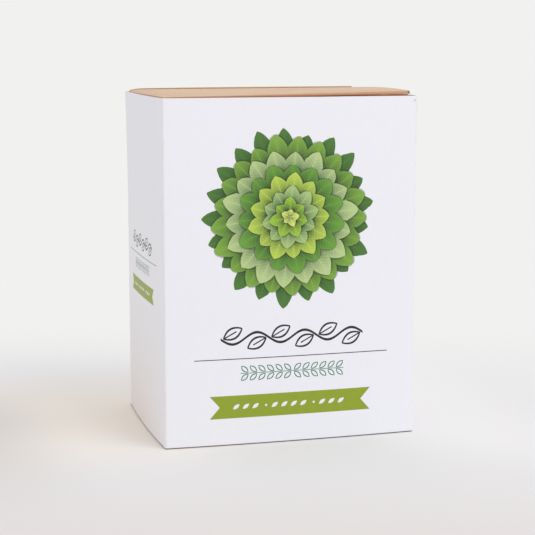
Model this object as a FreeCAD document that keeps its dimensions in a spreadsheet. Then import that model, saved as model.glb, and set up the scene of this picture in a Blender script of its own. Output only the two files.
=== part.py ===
import FreeCAD, Part
import math
import os

import Sketcher

# A boxed herb growing kit. A white board sleeve, open at both ends, is slipped over a folding carton
# of brown board. The carton has a locked bottom, two dust flaps and a lid with a tuck flap, and holds
# what grows the herbs: fibre pots nested in one stack, compost discs, seed packets, plant markers and
# a folded leaflet.
# The frame is in millimetres with +Z up. The sleeve's front faces -Y, and the origin is the middle of
# the rectangle that the box stands on.

KIT_COUNT = 5
SIDE_DRAIN_COUNT = 4
LEAFLET_LEAVES = 4

SIZES = (
    # the sleeve
    ("sleeve_width", 120.5),
    ("sleeve_depth", 90.0),
    ("sleeve_height", 160.0),
    ("sleeve_board", 0.45),
    ("sleeve_fold", 0.9),
    ("sleeve_bow", 1.3),
    ("sleeve_gap", 0.35),
    ("seam_lap", 14.0),
    ("seam_trim", 3.0),
    ("seam_slit", 0.3),
    # the carton's walls
    ("carton_board", 0.55),
    ("carton_fold", 0.9),
    ("front_wall_drop", 0.4),
    ("glue_flap_width", 14.0),
    ("glue_flap_trim", 4.0),
    ("glue_flap_end", 3.0),
    # the locked bottom
    ("layer_gap", 0.05),
    ("corner_nick", 0.8),
    ("root_round", 0.4),
    ("root_flat", 1.0),
    ("ramp_run", 3.5),
    ("ramp_clearance", 1.0),
    ("root_band", 9.0),
    ("root_taper", 4.0),
    ("back_panel_reach", 62.0),
    ("front_panel_reach", 34.0),
    ("lock_notch", 6.0),
    ("tongue_width", 56.0),
    ("tongue_slit", 1.2),
    ("tongue_clearance", 1.5),
    ("tongue_run", 8.0),
    ("tongue_overlap", 18.0),
    ("tongue_corner", 6.0),
    ("side_panel_slant", 6.0),
    ("side_panel_hook", 12.0),
    ("side_panel_clearance", 3.0),
    # the lid and its flaps
    ("lid_left_inset", 0.7),
    ("lid_right_inset", 2.4),
    ("lid_front_gap", 0.2),
    ("lid_fold", 1.4),
    ("lid_front_rise", 2.25),
    ("lid_crown", 0.95),
    ("crease_bead", 0.45),
    ("crease_rise", 1.7),
    ("crease_clearance", 0.1),
    ("pressed_width", 6.5),
    ("pressed_crease_rise", 0.45),
    ("pressed_crown", 0.25),
    ("tuck_length", 14.0),
    ("tuck_lean", 2.6),
    ("tuck_margin", 1.0),
    ("tuck_taper", 2.5),
    ("tuck_corner", 5.0),
    ("dust_length", 40.0),
    ("dust_lid_gap", 0.3),
    ("dust_front_clearance", 4.5),
    ("dust_back_clearance", 2.0),
    ("dust_front_taper", 1.5),
    ("dust_back_taper", 18.0),
    ("dust_corner", 3.0),
    # the fibre pots
    ("pot_rim_radius", 30.0),
    ("pot_base_radius", 21.0),
    ("pot_height", 60.0),
    ("pot_wall", 1.3),
    ("pot_floor", 1.6),
    ("pot_lip", 1.2),
    ("pot_lip_height", 2.4),
    ("pot_lip_round", 0.5),
    ("pot_foot_width", 4.0),
    ("pot_foot_height", 0.8),
    ("pot_inner_round", 2.0),
    ("pot_nest_gap", 0.3),
    ("drain_radius", 3.5),
    ("side_drain_radius", 2.0),
    ("side_drain_circle", 11.0),
    # the compost discs
    ("disc_radius", 22.0),
    ("disc_height", 9.5),
    ("disc_round", 2.0),
    ("disc_dimple_radius", 5.0),
    ("disc_dimple_slope", 1.5),
    ("disc_dimple_depth", 2.5),
    # the seed packets
    ("packet_width", 62.0),
    ("packet_height", 90.0),
    ("packet_paper", 0.3),
    ("packet_pillow", 0.5),
    ("packet_seam", 5.0),
    ("packet_slope", 8.0),
    ("packet_corner", 6.0),
    ("packet_flap", 18.0),
    ("packet_flap_paper", 0.2),
    ("packet_flap_taper", 3.0),
    # the plant markers
    ("marker_width", 12.0),
    ("marker_length", 100.0),
    ("marker_thickness", 1.5),
    ("marker_point", 18.0),
    ("marker_tip", 2.0),
    ("marker_corner", 3.0),
    ("marker_edge", 0.25),
    # the leaflet
    ("leaflet_width", 74.0),
    ("leaflet_height", 105.0),
    ("leaflet_paper", 0.15),
    ("leaflet_gap", 0.15),
    # how the contents stand
    ("seat_gap", 0.05),
    ("stack_gap", 0.1),
    ("wall_clearance", 0.6),
    ("packets_shift", 20.0),
    ("markers_right", 8.0),
    # how far a cut runs past what it cuts
    ("overrun", 5.0),
)

document = FreeCAD.newDocument("HerbPlanter")
sheet = document.addObject("Spreadsheet::Sheet", "Sizes")
for row, (alias, value) in enumerate(SIZES, 1):
    sheet.set("A%d" % row, alias)
    sheet.set("B%d" % row, str(value))
    sheet.setAlias("B%d" % row, alias)
document.recompute()


class Size:
    """A length or a plain number, together with the sheet formula that it comes from."""

    def __init__(self, value, formula):
        self.value = value
        self.formula = formula

    @staticmethod
    def of(number):
        return number if isinstance(number, Size) else Size(float(number), "%.10g" % number)

    def join(self, other, sign, value):
        return Size(value, "(%s %s %s)" % (self.formula, sign, other.formula))

    def __add__(self, other):
        other = Size.of(other)
        return self.join(other, "+", self.value + other.value)

    def __sub__(self, other):
        other = Size.of(other)
        return self.join(other, "-", self.value - other.value)

    def __mul__(self, other):
        other = Size.of(other)
        return self.join(other, "*", self.value * other.value)

    def __truediv__(self, other):
        other = Size.of(other)
        return self.join(other, "/", self.value / other.value)

    def __radd__(self, other):
        return Size.of(other) + self

    def __rsub__(self, other):
        return Size.of(other) - self

    def __rmul__(self, other):
        return Size.of(other) * self

    def __neg__(self):
        return Size(-self.value, "(-%s)" % self.formula)

    def root(self):
        return Size(math.sqrt(self.value), "sqrt(%s)" % self.formula)


class Named:
    """The sheet's sizes by name: size.pot_height is the cell with that alias."""

    def __getattr__(self, alias):
        return Size(float(sheet.get(alias)), "Sizes." + alias)


size = Named()
nothing = Size.of(0)


def hypotenuse(first, second):
    return (first * first + second * second).root()


# Planes that several pieces share. The sleeve's width and depth go from fold to fold. Its front and its
# sides bow outwards between the folds and its glued back is flat, so the folds stand half a bow back.
# The glued lap lies inside the back, so the carton stands one board further forward there.
half_width = size.sleeve_width / 2
front_fold = (size.sleeve_bow - size.sleeve_depth) / 2
back_fold = (size.sleeve_bow + size.sleeve_depth) / 2
sleeve_side = half_width - size.sleeve_board
sleeve_front = front_fold + size.sleeve_board
sleeve_back = back_fold - size.sleeve_board
lap_face = sleeve_back - size.sleeve_board
carton_side = sleeve_side - size.sleeve_gap
carton_front = sleeve_front + size.sleeve_gap
carton_back = lap_face - size.sleeve_gap
inner_side = carton_side - size.carton_board
inner_front = carton_front + size.carton_board
inner_back = carton_back - size.carton_board
sleeve_top = size.sleeve_height

# Levels of the bottom's layers: the side panels lie on the front panel, the back panel lies on those,
# and the front panel's tongue lies on the back panel.
layer_pitch = size.carton_board + size.layer_gap
side_level = layer_pitch
back_level = layer_pitch * 2
tongue_level = layer_pitch * 3
back_floor = back_level + size.carton_board
tongue_floor = tongue_level + size.carton_board

# The lid turns about the middle of its crease bead, and each flap about the middle of its rounded root.
flap_root = size.carton_board / 2
lid_axis_y = carton_back - size.crease_bead
lid_axis_z = sleeve_top + size.crease_rise - size.crease_bead
lid_left = size.lid_left_inset - carton_side
lid_right = carton_side - size.lid_right_inset
lid_span = lid_right - lid_left
lid_front = inner_front + size.lid_front_gap
dust_axis_x = carton_side - flap_root
dust_axis_z = sleeve_top - size.carton_board - size.dust_lid_gap - flap_root
side_wall_top = dust_axis_z - flap_root - size.crease_clearance
front_wall_top = sleeve_top - size.front_wall_drop
back_wall_top = lid_axis_z - size.crease_bead - size.crease_clearance
pressed_wall_top = sleeve_top + size.pressed_crease_rise - size.crease_bead * 2 - size.crease_clearance
tuck_axis_y = lid_front + flap_root
tuck_axis_z = sleeve_top - size.lid_fold - size.crease_clearance - flap_root

# Places that the bottom panels share: half the width of a root and of a panel, and the edge that the
# tongue climbs over.
root_half = carton_side - size.corner_nick
panel_half = carton_side - size.root_flat - size.ramp_run - size.ramp_clearance
notch_edge = carton_back - size.back_panel_reach + size.lock_notch

# Shares of the pressed corner's width, and how much of the lid's full height it has there.
PRESSED_SHARES = ((0.0, 0.0), (0.25, 0.4), (0.5, 0.72), (0.75, 0.92), (1.0, 1.0))

# Where the contents stand: the pots and the discs in front, the packets, the leaflet and the markers
# behind them, on the level part of the back panel.
pots_x = size.carton_board + size.wall_clearance + size.pot_rim_radius + size.pot_lip - inner_side
pots_y = inner_front + size.wall_clearance + size.pot_rim_radius + size.pot_lip
discs_x = inner_side - size.wall_clearance - size.disc_radius
discs_y = inner_front + size.wall_clearance + size.disc_radius
contents_back = carton_back - size.root_flat - size.ramp_run
packet_thickness = size.packet_paper + size.packet_pillow * 2
packet_pitch = packet_thickness + size.stack_gap
marker_pitch = size.marker_thickness + size.stack_gap
leaflet_thickness = size.leaflet_paper * LEAFLET_LEAVES + size.leaflet_gap * (LEAFLET_LEAVES - 1)
leaflet_y = contents_back - packet_pitch * KIT_COUNT - leaflet_thickness

PLANES = {"XY": ("XY_Plane", 1), "XZ": ("XZ_Plane", -1), "YZ": ("YZ_Plane", 1)}
parts = []


def origin_feature(body, role):
    return [item for item in body.Origin.OriginFeatures if item.Role == role][0]


def new_body(label):
    body = document.addObject("PartDesign::Body", label)
    body.Label = label
    parts.append(body)
    return body


def place(body, x=nothing, y=nothing, z=nothing):
    """Move a body from its own origin to its place in the box."""
    for axis, distance in (("x", x), ("y", y), ("z", z)):
        body.setExpression("Placement.Base." + axis, distance.formula)


def arc_middle(start, end, radius):
    """The middle of the arc from start to end: left turns have a positive radius."""
    chord = end - start
    half = chord.Length / 2
    sagitta = abs(radius) - math.sqrt(max(radius * radius - half * half, 0))
    aside = FreeCAD.Vector(chord.y, -chord.x, 0).normalize()
    return (start + end) / 2 + aside * math.copysign(sagitta, radius)


def draw(sketch, outline):
    """Draw one closed outline and bind each corner to its formulas.

    A corner is (x, y), or (x, y, radius) where an arc leads to the next corner. The radius is
    positive where the arc turns left and negative where it turns right.
    """
    count = len(outline)
    first = sketch.GeometryCount
    corners = [FreeCAD.Vector(corner[0].value, corner[1].value, 0) for corner in outline]
    starts = []
    for number, corner in enumerate(outline):
        start = corners[number]
        end = corners[(number + 1) % count]
        if len(corner) == 2:
            sketch.addGeometry(Part.LineSegment(start, end))
            starts.append((1, 2))
        else:
            radius = corner[2].value
            sketch.addGeometry(Part.Arc(start, arc_middle(start, end, radius), end))
            starts.append((1, 2) if radius > 0 else (2, 1))
    for number, corner in enumerate(outline):
        line = first + number
        follower = first + (number + 1) % count
        ends = (starts[number][1], starts[(number + 1) % count][0])
        sketch.addConstraint(Sketcher.Constraint("Coincident", line, ends[0], follower, ends[1]))
        for kind, distance in (("DistanceX", corner[0]), ("DistanceY", corner[1])):
            index = sketch.addConstraint(
                Sketcher.Constraint(kind, -1, 1, line, starts[number][0], distance.value)
            )
            sketch.setExpression("Constraints[%d]" % index, distance.formula)
        if len(corner) == 3:
            radius = corner[2] if corner[2].value > 0 else -corner[2]
            index = sketch.addConstraint(Sketcher.Constraint("Radius", line, radius.value))
            sketch.setExpression("Constraints[%d]" % index, radius.formula)


def draw_circle(sketch, x, y, radius):
    circle = sketch.addGeometry(
        Part.Circle(FreeCAD.Vector(x.value, y.value, 0), FreeCAD.Vector(0, 0, 1), radius.value)
    )
    for kind, distance in (("DistanceX", x), ("DistanceY", y)):
        index = sketch.addConstraint(Sketcher.Constraint(kind, -1, 1, circle, 3, distance.value))
        sketch.setExpression("Constraints[%d]" % index, distance.formula)
    index = sketch.addConstraint(Sketcher.Constraint("Radius", circle, radius.value))
    sketch.setExpression("Constraints[%d]" % index, radius.formula)


def new_sketch(body, name, plane, level=nothing, outlines=()):
    """A sketch on one of the body's origin planes, moved along +X, +Y or +Z to a level."""
    role, direction = PLANES[plane]
    sketch = body.newObject("Sketcher::SketchObject", name + "_sketch")
    sketch.AttachmentSupport = [(origin_feature(body, role), "")]
    sketch.MapMode = "FlatFace"
    offset = level if direction > 0 else -level
    sketch.setExpression("AttachmentOffset.Base.z", offset.formula)
    for outline in outlines:
        draw(sketch, outline)
    return sketch


def pad(body, name, plane, level, thickness, *outlines):
    """Add board from a level, towards +X, +Y or +Z."""
    feature = body.newObject("PartDesign::Pad", name)
    feature.Profile = new_sketch(body, name, plane, level, outlines)
    feature.setExpression("Length", thickness.formula)
    feature.Reversed = PLANES[plane][1] < 0
    document.recompute()
    return feature


def pocket(body, name, plane, level, depth, *outlines):
    """Cut away from a level, towards +X, +Y or +Z, and make sure that something went."""
    before = body.Shape.Volume
    feature = body.newObject("PartDesign::Pocket", name)
    feature.Profile = new_sketch(body, name, plane, level, outlines)
    feature.setExpression("Length", depth.formula)
    feature.Reversed = PLANES[plane][1] > 0
    document.recompute()
    if not body.Shape.Volume < before:
        raise RuntimeError("%s cuts nothing" % name)
    return feature


def rectangle(left, low, right, high):
    return [(left, low), (right, low), (right, high), (left, high)]


def rounded_rectangle(left, low, right, high, radius):
    return [
        (left + radius, low),
        (right - radius, low, radius),
        (right, low + radius),
        (right, high - radius, radius),
        (right - radius, high),
        (left + radius, high, radius),
        (left, high - radius),
        (left, low + radius, radius),
    ]


def bow_radius(span, bow):
    """The radius of the arc that rises by a bow over the middle of its span."""
    return span * span / (bow * 8) + bow / 2


def bowed_rectangle(left, low, right, high, radius, bow):
    """A rounded rectangle whose lowest side and upright sides bow outwards, and whose top is straight."""
    outline = rounded_rectangle(left, low, right, high, radius)
    outline[0] += (bow_radius(right - left - radius * 2, bow),)
    for side in (2, 6):
        outline[side] += (bow_radius(high - low - radius * 2, bow),)
    return outline


def mirrored(outline):
    """The same outline on the other side of the upright axis, for outlines without arcs."""
    return [(-corner[0], corner[1]) for corner in reversed(outline)]


def trim(body, name, outline):
    """Keep only what lies inside an outline in plan, by cutting the frame around it away."""
    beyond = size.sleeve_width
    frame = rectangle(-beyond, -beyond, beyond, beyond)
    return pocket(body, name, "XY", -size.overrun, tongue_floor + size.overrun * 2, frame, outline)


def make_sleeve():
    """A board tube with folded corners and bowed panels, and a lap glued inside its flat back."""
    body = new_body("sleeve")
    fold = size.sleeve_fold
    bow = size.sleeve_bow
    outer = bowed_rectangle(-half_width, front_fold, half_width, back_fold, fold, bow)
    inner_fold = fold - size.sleeve_board
    inner = bowed_rectangle(-sleeve_side, sleeve_front, sleeve_side, sleeve_back, inner_fold, bow)
    pad(body, "sleeve_tube", "XY", nothing, size.sleeve_height, outer, inner)
    fold_end = fold - half_width
    slit = rectangle(fold_end, sleeve_back, fold_end + size.seam_slit, back_fold + size.overrun)
    pocket(body, "seam_slit", "XY", -size.overrun, size.sleeve_height + size.overrun * 2, slit)
    lap_end = size.seam_lap - sleeve_side
    lap = [
        (-sleeve_side, nothing),
        (lap_end, size.seam_trim),
        (lap_end, size.sleeve_height - size.seam_trim),
        (-sleeve_side, size.sleeve_height),
    ]
    pad(body, "seam_lap", "XZ", lap_face, size.sleeve_board, lap)


def make_carton_walls():
    """Four walls with folded corners. Their tops differ, as the lid, the flaps and the front need."""
    body = new_body("carton_walls")
    board = size.carton_board
    outer = rounded_rectangle(-carton_side, carton_front, carton_side, carton_back, size.carton_fold)
    inner = rounded_rectangle(
        -inner_side, inner_front, inner_side, inner_back, size.carton_fold - board
    )
    pad(body, "wall_tube", "XY", board, back_wall_top - board, outer, inner)
    above = back_wall_top + size.overrun
    tops = [
        (carton_front - size.overrun, front_wall_top),
        (inner_front, front_wall_top),
        (inner_front, side_wall_top),
        (inner_back, side_wall_top),
        (inner_back, above),
        (carton_front - size.overrun, above),
    ]
    pocket(body, "wall_tops", "YZ", -half_width, size.sleeve_width, tops)
    pressed_end = size.pressed_width - carton_side
    pressed_corner = [
        (-half_width, pressed_wall_top),
        (pressed_end, pressed_wall_top),
        (pressed_end + size.pressed_width, above),
        (-half_width, above),
    ]
    pocket(body, "pressed_corner", "XZ", nothing, back_fold, pressed_corner)
    flap_start = inner_back - size.glue_flap_width
    low = board + size.glue_flap_end
    high = side_wall_top - size.glue_flap_end
    flap = [
        (flap_start, low + size.glue_flap_trim),
        (inner_back, low),
        (inner_back, high),
        (flap_start, high - size.glue_flap_trim),
    ]
    pad(body, "glue_flap", "YZ", -inner_side, board, flap)


def ramp_profile(root, inward, reach, level):
    """The side view of a bottom panel: it starts on the ground under its wall and climbs to its layer.

    root is the wall's outer face, inward is 1 or -1, and reach is the panel's length from there.
    """
    board = size.carton_board
    flat = root + size.root_flat * inward
    climbed = flat + size.ramp_run * inward
    end = root + reach * inward
    rounding = root + size.root_round * inward
    profile = [
        (rounding, nothing),
        (flat, nothing),
        (climbed, level),
        (end, level),
        (end, level + board),
        (climbed, level + board),
        (flat, board),
        (root, board),
        (root, size.root_round, size.root_round * inward),
    ]
    return profile


def make_bottom_back():
    """The widest bottom panel, with a notch in its free edge that the tongue goes through."""
    body = new_body("bottom_panel_back")
    profile = ramp_profile(carton_back, -1, size.back_panel_reach, back_level)
    pad(body, "back_panel_board", "YZ", -half_width, size.sleeve_width, profile)
    notch = size.tongue_width / 2 + size.side_panel_clearance
    left_half = [
        (-root_half, carton_back + size.overrun),
        (-root_half, carton_back - size.root_band),
        (-panel_half, carton_back - size.root_band - size.root_taper),
        (-panel_half, carton_back - size.back_panel_reach - size.overrun),
        (-notch, carton_back - size.back_panel_reach - size.overrun),
        (-notch, notch_edge),
    ]
    trim(body, "back_panel_outline", left_half + mirrored(left_half))


def make_bottom_side(label, side):
    """A side bottom panel: slanted in front, and hooked under the back panel behind the tongue."""
    body = new_body(label)
    root = carton_side * side
    clear_edge = size.tongue_width / 2 + size.side_panel_clearance
    hook_edge = clear_edge - size.side_panel_hook
    front_end = carton_front + size.root_band + size.root_taper
    back_end = carton_back - size.root_band - size.root_taper
    hook_start = notch_edge + size.root_taper
    profile = ramp_profile(root, -side, carton_side - hook_edge, side_level)
    pad(body, label + "_board", "XZ", front_fold, size.sleeve_depth, profile)
    outline = [
        (-carton_side - size.overrun, back_end),
        (-carton_side - size.overrun, front_end),
        (-carton_side, front_end),
        (-clear_edge, front_end + size.side_panel_slant),
        (-clear_edge, hook_start),
        (-hook_edge, hook_start + size.side_panel_hook),
        (-hook_edge, back_end - size.side_panel_slant),
        (-carton_side, back_end),
    ]
    if side > 0:
        outline = mirrored(outline)
    trim(body, label + "_outline", outline)


def make_bottom_front():
    """The last bottom panel: a plate on the ground, and a tongue that climbs over the back panel."""
    body = new_body("bottom_panel_front")
    board = size.carton_board
    profile = [
        (carton_front + size.root_round, nothing),
        (carton_front + size.front_panel_reach, nothing),
        (carton_front + size.front_panel_reach, board),
        (carton_front, board),
        (carton_front, size.root_round, size.root_round),
    ]
    pad(body, "front_panel_board", "YZ", -half_width, size.sleeve_width, profile)
    slot = size.tongue_width / 2 + size.tongue_slit
    ramp_start = notch_edge - size.tongue_clearance - size.tongue_run
    shoulder = carton_front + size.front_panel_reach + size.overrun
    right_half = [
        (root_half, carton_front - size.overrun),
        (root_half, carton_front + size.root_band),
        (panel_half, carton_front + size.root_band + size.root_taper),
        (panel_half, shoulder),
        (slot, shoulder),
        (slot, ramp_start),
    ]
    trim(body, "front_panel_outline", right_half + mirrored(right_half))
    ramp_end = ramp_start + size.tongue_run
    tip = notch_edge + size.tongue_overlap
    tongue = [
        (ramp_start - size.root_band, nothing),
        (ramp_start, nothing),
        (ramp_end, tongue_level),
        (tip, tongue_level),
        (tip, tongue_floor),
        (ramp_end, tongue_floor),
        (ramp_start, board),
        (ramp_start - size.root_band, board),
    ]
    pad(body, "tongue", "YZ", -size.tongue_width / 2, size.tongue_width, tongue)
    half = size.tongue_width / 2
    corner = size.tongue_corner
    for number, side in enumerate((1, -1)):
        nick = [
            (half * side, tip - corner, corner * side),
            ((half - corner) * side, tip),
            ((half - corner) * side, tip + size.overrun),
            ((half + size.overrun) * side, tip + size.overrun),
            ((half + size.overrun) * side, tip - corner),
        ]
        pocket(body, "tongue_corner_%d" % number, "XY", nothing, tongue_floor + size.overrun, nick)


def lid_section(crease_rise, crown, front_rise):
    """The lid's cross-section: a bead along the crease, a bowed panel and the fold to the tuck flap."""
    board = size.carton_board
    bead = size.crease_bead
    fold = size.lid_fold
    bead_z = sleeve_top + crease_rise - bead
    front_z = sleeve_top + front_rise
    top_chord = hypotenuse(lid_axis_y - bead - lid_front - fold, front_z - bead_z)
    top_radius = bow_radius(top_chord, crown)
    return [
        (lid_axis_y, bead_z - bead, bead),
        (lid_axis_y + bead, bead_z, bead),
        (lid_axis_y, bead_z + bead, bead),
        (lid_axis_y - bead, bead_z, top_radius),
        (lid_front + fold, front_z, fold),
        (lid_front, front_z - fold),
        (lid_front + board, front_z - fold, board - fold),
        (lid_front + fold, front_z - board, -top_radius),
        (lid_axis_y - bead, bead_z - board),
    ]


def make_lid():
    """The lid is lofted from the pressed left edge, through the crown, to the raised right edge."""
    body = new_body("lid")
    stations = [
        (size.pressed_width * width_share, rise_share) for width_share, rise_share in PRESSED_SHARES
    ]
    stations.append((lid_span / 2, 1.0))
    stations.append((lid_span, 1.0))
    sketches = []
    for number, (along, share) in enumerate(stations):
        crease_rise = size.pressed_crease_rise + (size.crease_rise - size.pressed_crease_rise) * share
        crown = size.pressed_crown + (size.lid_crown - size.pressed_crown) * share
        front_rise = size.lid_front_rise * along / lid_span
        section = lid_section(crease_rise, crown, front_rise)
        sketches.append(new_sketch(body, "lid_section_%d" % number, "YZ", lid_left + along, [section]))
    loft = body.newObject("PartDesign::AdditiveLoft", "lid_panel")
    loft.Profile = sketches[0]
    loft.Sections = sketches[1:]
    loft.Ruled = True
    document.recompute()


def make_tuck_flap():
    """A flap with a rounded root and rounded corners, modelled along X and turned to the lid's fold."""
    body = new_body("tuck_flap")
    length = hypotenuse(lid_span, size.lid_front_rise)
    lean = size.tuck_lean / size.tuck_length
    drop = (1 - lean * lean).root()
    out_y = flap_root * drop
    out_z = flap_root * lean
    end_y = size.tuck_length * lean
    end_z = -size.tuck_length * drop
    profile = [
        (-out_y, -out_z),
        (end_y - out_y, end_z - out_z),
        (end_y + out_y, end_z + out_z),
        (out_y, out_z, flap_root),
        (-out_z, out_y, flap_root),
    ]
    pad(body, "tuck_board", "YZ", size.tuck_margin, length - size.tuck_margin * 2, profile)
    low = end_z - out_z
    corner = size.tuck_corner
    left = size.tuck_margin
    inset = left + size.tuck_taper
    for number, (edge, inner, way) in enumerate(
        ((left, inset, 1), (length - left, length - inset, -1))
    ):
        beyond = edge - size.overrun * way
        cut = [
            (edge, nothing),
            (beyond, nothing),
            (beyond, low - size.overrun),
            (inner + corner * way, low - size.overrun),
            (inner + corner * way, low, -corner * way),
            (inner, low + corner),
        ]
        pocket(body, "tuck_corner_%d" % number, "XZ", -size.overrun, size.overrun * 2, cut)
    body.Placement.Rotation.Axis = FreeCAD.Vector(0, -1, 0)
    body.setExpression("Placement.Rotation.Angle", "asin(%s)" % (size.lid_front_rise / length).formula)
    place(body, lid_left, tuck_axis_y, tuck_axis_z)


def make_dust_flap(label, side):
    """A flap folded in under the lid, cut back behind so that it can rise as the lid opens."""
    body = new_body(label)
    low = dust_axis_z - flap_root
    high = dust_axis_z + flap_root
    root = dust_axis_x * side
    end = (dust_axis_x - size.dust_length) * side
    profile = [
        (end, low),
        (root, low, flap_root * side),
        (root + flap_root * side, dust_axis_z, flap_root * side),
        (root, high),
        (end, high),
    ]
    front = inner_front + size.dust_front_clearance
    back = inner_back - size.dust_back_clearance
    pad(body, label + "_board", "XZ", front, back - front, profile)
    corner = size.dust_corner
    behind = back + size.overrun
    before = front - size.overrun
    free_front = front + size.dust_front_taper
    free_back = back - size.dust_back_taper
    cuts = (
        [
            (root, back),
            (root, behind),
            (end - size.overrun * side, behind),
            (end - size.overrun * side, free_back - corner),
            (end, free_back - corner, corner * -side),
            (end + corner * side, free_back),
        ],
        [
            (root, front),
            (end + corner * side, free_front, corner * -side),
            (end, free_front + corner),
            (end - size.overrun * side, free_front + corner),
            (end - size.overrun * side, before),
            (root, before),
        ],
    )
    for number, cut in enumerate(cuts):
        pocket(
            body, "%s_cut_%d" % (label, number), "XY", low - size.overrun, size.overrun * 3, cut
        )


def make_pot(number):
    """A tapered pot of pressed fibre with a lip, a foot ring and holes in its floor."""
    body = new_body("pot_%d" % number)
    taper = (size.pot_rim_radius - size.pot_base_radius) / size.pot_height
    lip_low = size.pot_height - size.pot_lip_height
    lip_radius = size.pot_rim_radius + size.pot_lip
    floor = size.pot_foot_height + size.pot_floor
    foot_inside = size.pot_base_radius - size.pot_foot_width
    round_lip = size.pot_lip_round
    section = [
        (nothing, size.pot_foot_height),
        (foot_inside - size.pot_foot_height, size.pot_foot_height),
        (foot_inside, nothing),
        (size.pot_base_radius, nothing),
        (size.pot_base_radius + taper * lip_low, lip_low),
        (lip_radius, lip_low),
        (lip_radius, size.pot_height - round_lip, round_lip),
        (lip_radius - round_lip, size.pot_height),
        (size.pot_rim_radius - size.pot_wall, size.pot_height),
        (size.pot_base_radius - size.pot_wall + taper * floor, floor),
        (nothing, floor),
    ]
    shell = body.newObject("PartDesign::Revolution", "pot_shell_%d" % number)
    shell.Profile = new_sketch(body, "pot_shell_%d" % number, "XZ", nothing, [section])
    shell.ReferenceAxis = (shell.Profile[0], ["V_Axis"])
    document.recompute()
    inside_corner = [
        "Edge%d" % (index + 1)
        for index, edge in enumerate(shell.Shape.Edges)
        if edge.isClosed() and abs(edge.CenterOfMass.z - floor.value) < size.seat_gap.value
    ]
    rounded = body.newObject("PartDesign::Fillet", "pot_round_%d" % number)
    rounded.Base = (shell, inside_corner)
    rounded.setExpression("Radius", size.pot_inner_round.formula)
    document.recompute()
    drain = new_sketch(body, "drain_%d" % number, "XY", -size.overrun)
    draw_circle(drain, nothing, nothing, size.drain_radius)
    side_drain = new_sketch(body, "side_drain_%d" % number, "XY", -size.overrun)
    draw_circle(side_drain, size.side_drain_circle, nothing, size.side_drain_radius)
    for name, sketch in (("drain_cut", drain), ("side_drain_cut", side_drain)):
        before = body.Shape.Volume
        cut = body.newObject("PartDesign::Pocket", "%s_%d" % (name, number))
        cut.Profile = sketch
        cut.setExpression("Length", (floor + size.overrun * 2).formula)
        cut.Reversed = True
        document.recompute()
        if not body.Shape.Volume < before:
            raise RuntimeError("%s cuts nothing" % name)
    ring = body.newObject("PartDesign::PolarPattern", "side_drains_%d" % number)
    ring.Originals = [cut]
    ring.Axis = (side_drain, ["N_Axis"])
    ring.Angle = 360
    ring.Occurrences = SIDE_DRAIN_COUNT
    body.Tip = ring
    pitch = (size.pot_wall + size.pot_nest_gap) / taper
    place(body, pots_x, pots_y, tongue_floor + size.seat_gap + pitch * (number - 1))


def make_disc(number):
    """A dry disc of pressed compost with round edges and a dimple for the seeds."""
    body = new_body("compost_disc_%d" % number)
    radius = size.disc_radius
    edge = size.disc_round
    top = size.disc_height
    dimple = size.disc_dimple_radius
    section = [
        (nothing, nothing),
        (radius - edge, nothing, edge),
        (radius, edge),
        (radius, top - edge, edge),
        (radius - edge, top),
        (dimple, top),
        (dimple - size.disc_dimple_slope, top - size.disc_dimple_depth),
        (nothing, top - size.disc_dimple_depth),
    ]
    disc = body.newObject("PartDesign::Revolution", "disc_%d" % number)
    disc.Profile = new_sketch(body, "disc_%d" % number, "XZ", nothing, [section])
    disc.ReferenceAxis = (disc.Profile[0], ["V_Axis"])
    place(body, discs_x, discs_y, tongue_floor + size.seat_gap + (top + size.stack_gap) * (number - 1))


def make_packet(number):
    """A flat sachet: a paper edge all round, a pillow of seeds on both sides and a folded flap."""
    body = new_body("seed_packet_%d" % number)
    half = size.packet_width / 2
    paper = size.packet_paper
    edge = rectangle(-half, nothing, half, size.packet_height)
    pad(body, "packet_paper_%d" % number, "XZ", -paper / 2, paper, edge)
    seam = size.packet_seam
    low = seam
    high = size.packet_height - size.packet_flap - seam
    slope = size.packet_slope
    foot = rounded_rectangle(seam - half, low, half - seam, high, size.packet_corner)
    crest = rounded_rectangle(
        seam - half + slope, low + slope, half - seam - slope, high - slope, size.packet_corner
    )
    pillow = body.newObject("PartDesign::AdditiveLoft", "packet_pillow_%d" % number)
    pillow.Profile = new_sketch(body, "pillow_foot_%d" % number, "XZ", -paper / 2, [foot])
    pillow.Sections = [
        new_sketch(body, "pillow_crest_%d" % number, "XZ", -paper / 2 - size.packet_pillow, [crest])
    ]
    document.recompute()
    both = body.newObject("PartDesign::Mirrored", "packet_sides_%d" % number)
    both.Originals = [pillow]
    both.MirrorPlane = (origin_feature(body, "XZ_Plane"), [""])
    body.Tip = both
    document.recompute()
    flap_low = size.packet_height - size.packet_flap
    flap = [
        (size.packet_flap_taper - half, flap_low),
        (half - size.packet_flap_taper, flap_low),
        (half, size.packet_height),
        (-half, size.packet_height),
    ]
    pad(body, "packet_flap_%d" % number, "XZ", paper / 2, size.packet_flap_paper, flap)
    y = contents_back - packet_thickness / 2 - packet_pitch * (number - 1)
    place(body, -size.packets_shift, y, back_floor + size.seat_gap)


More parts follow.
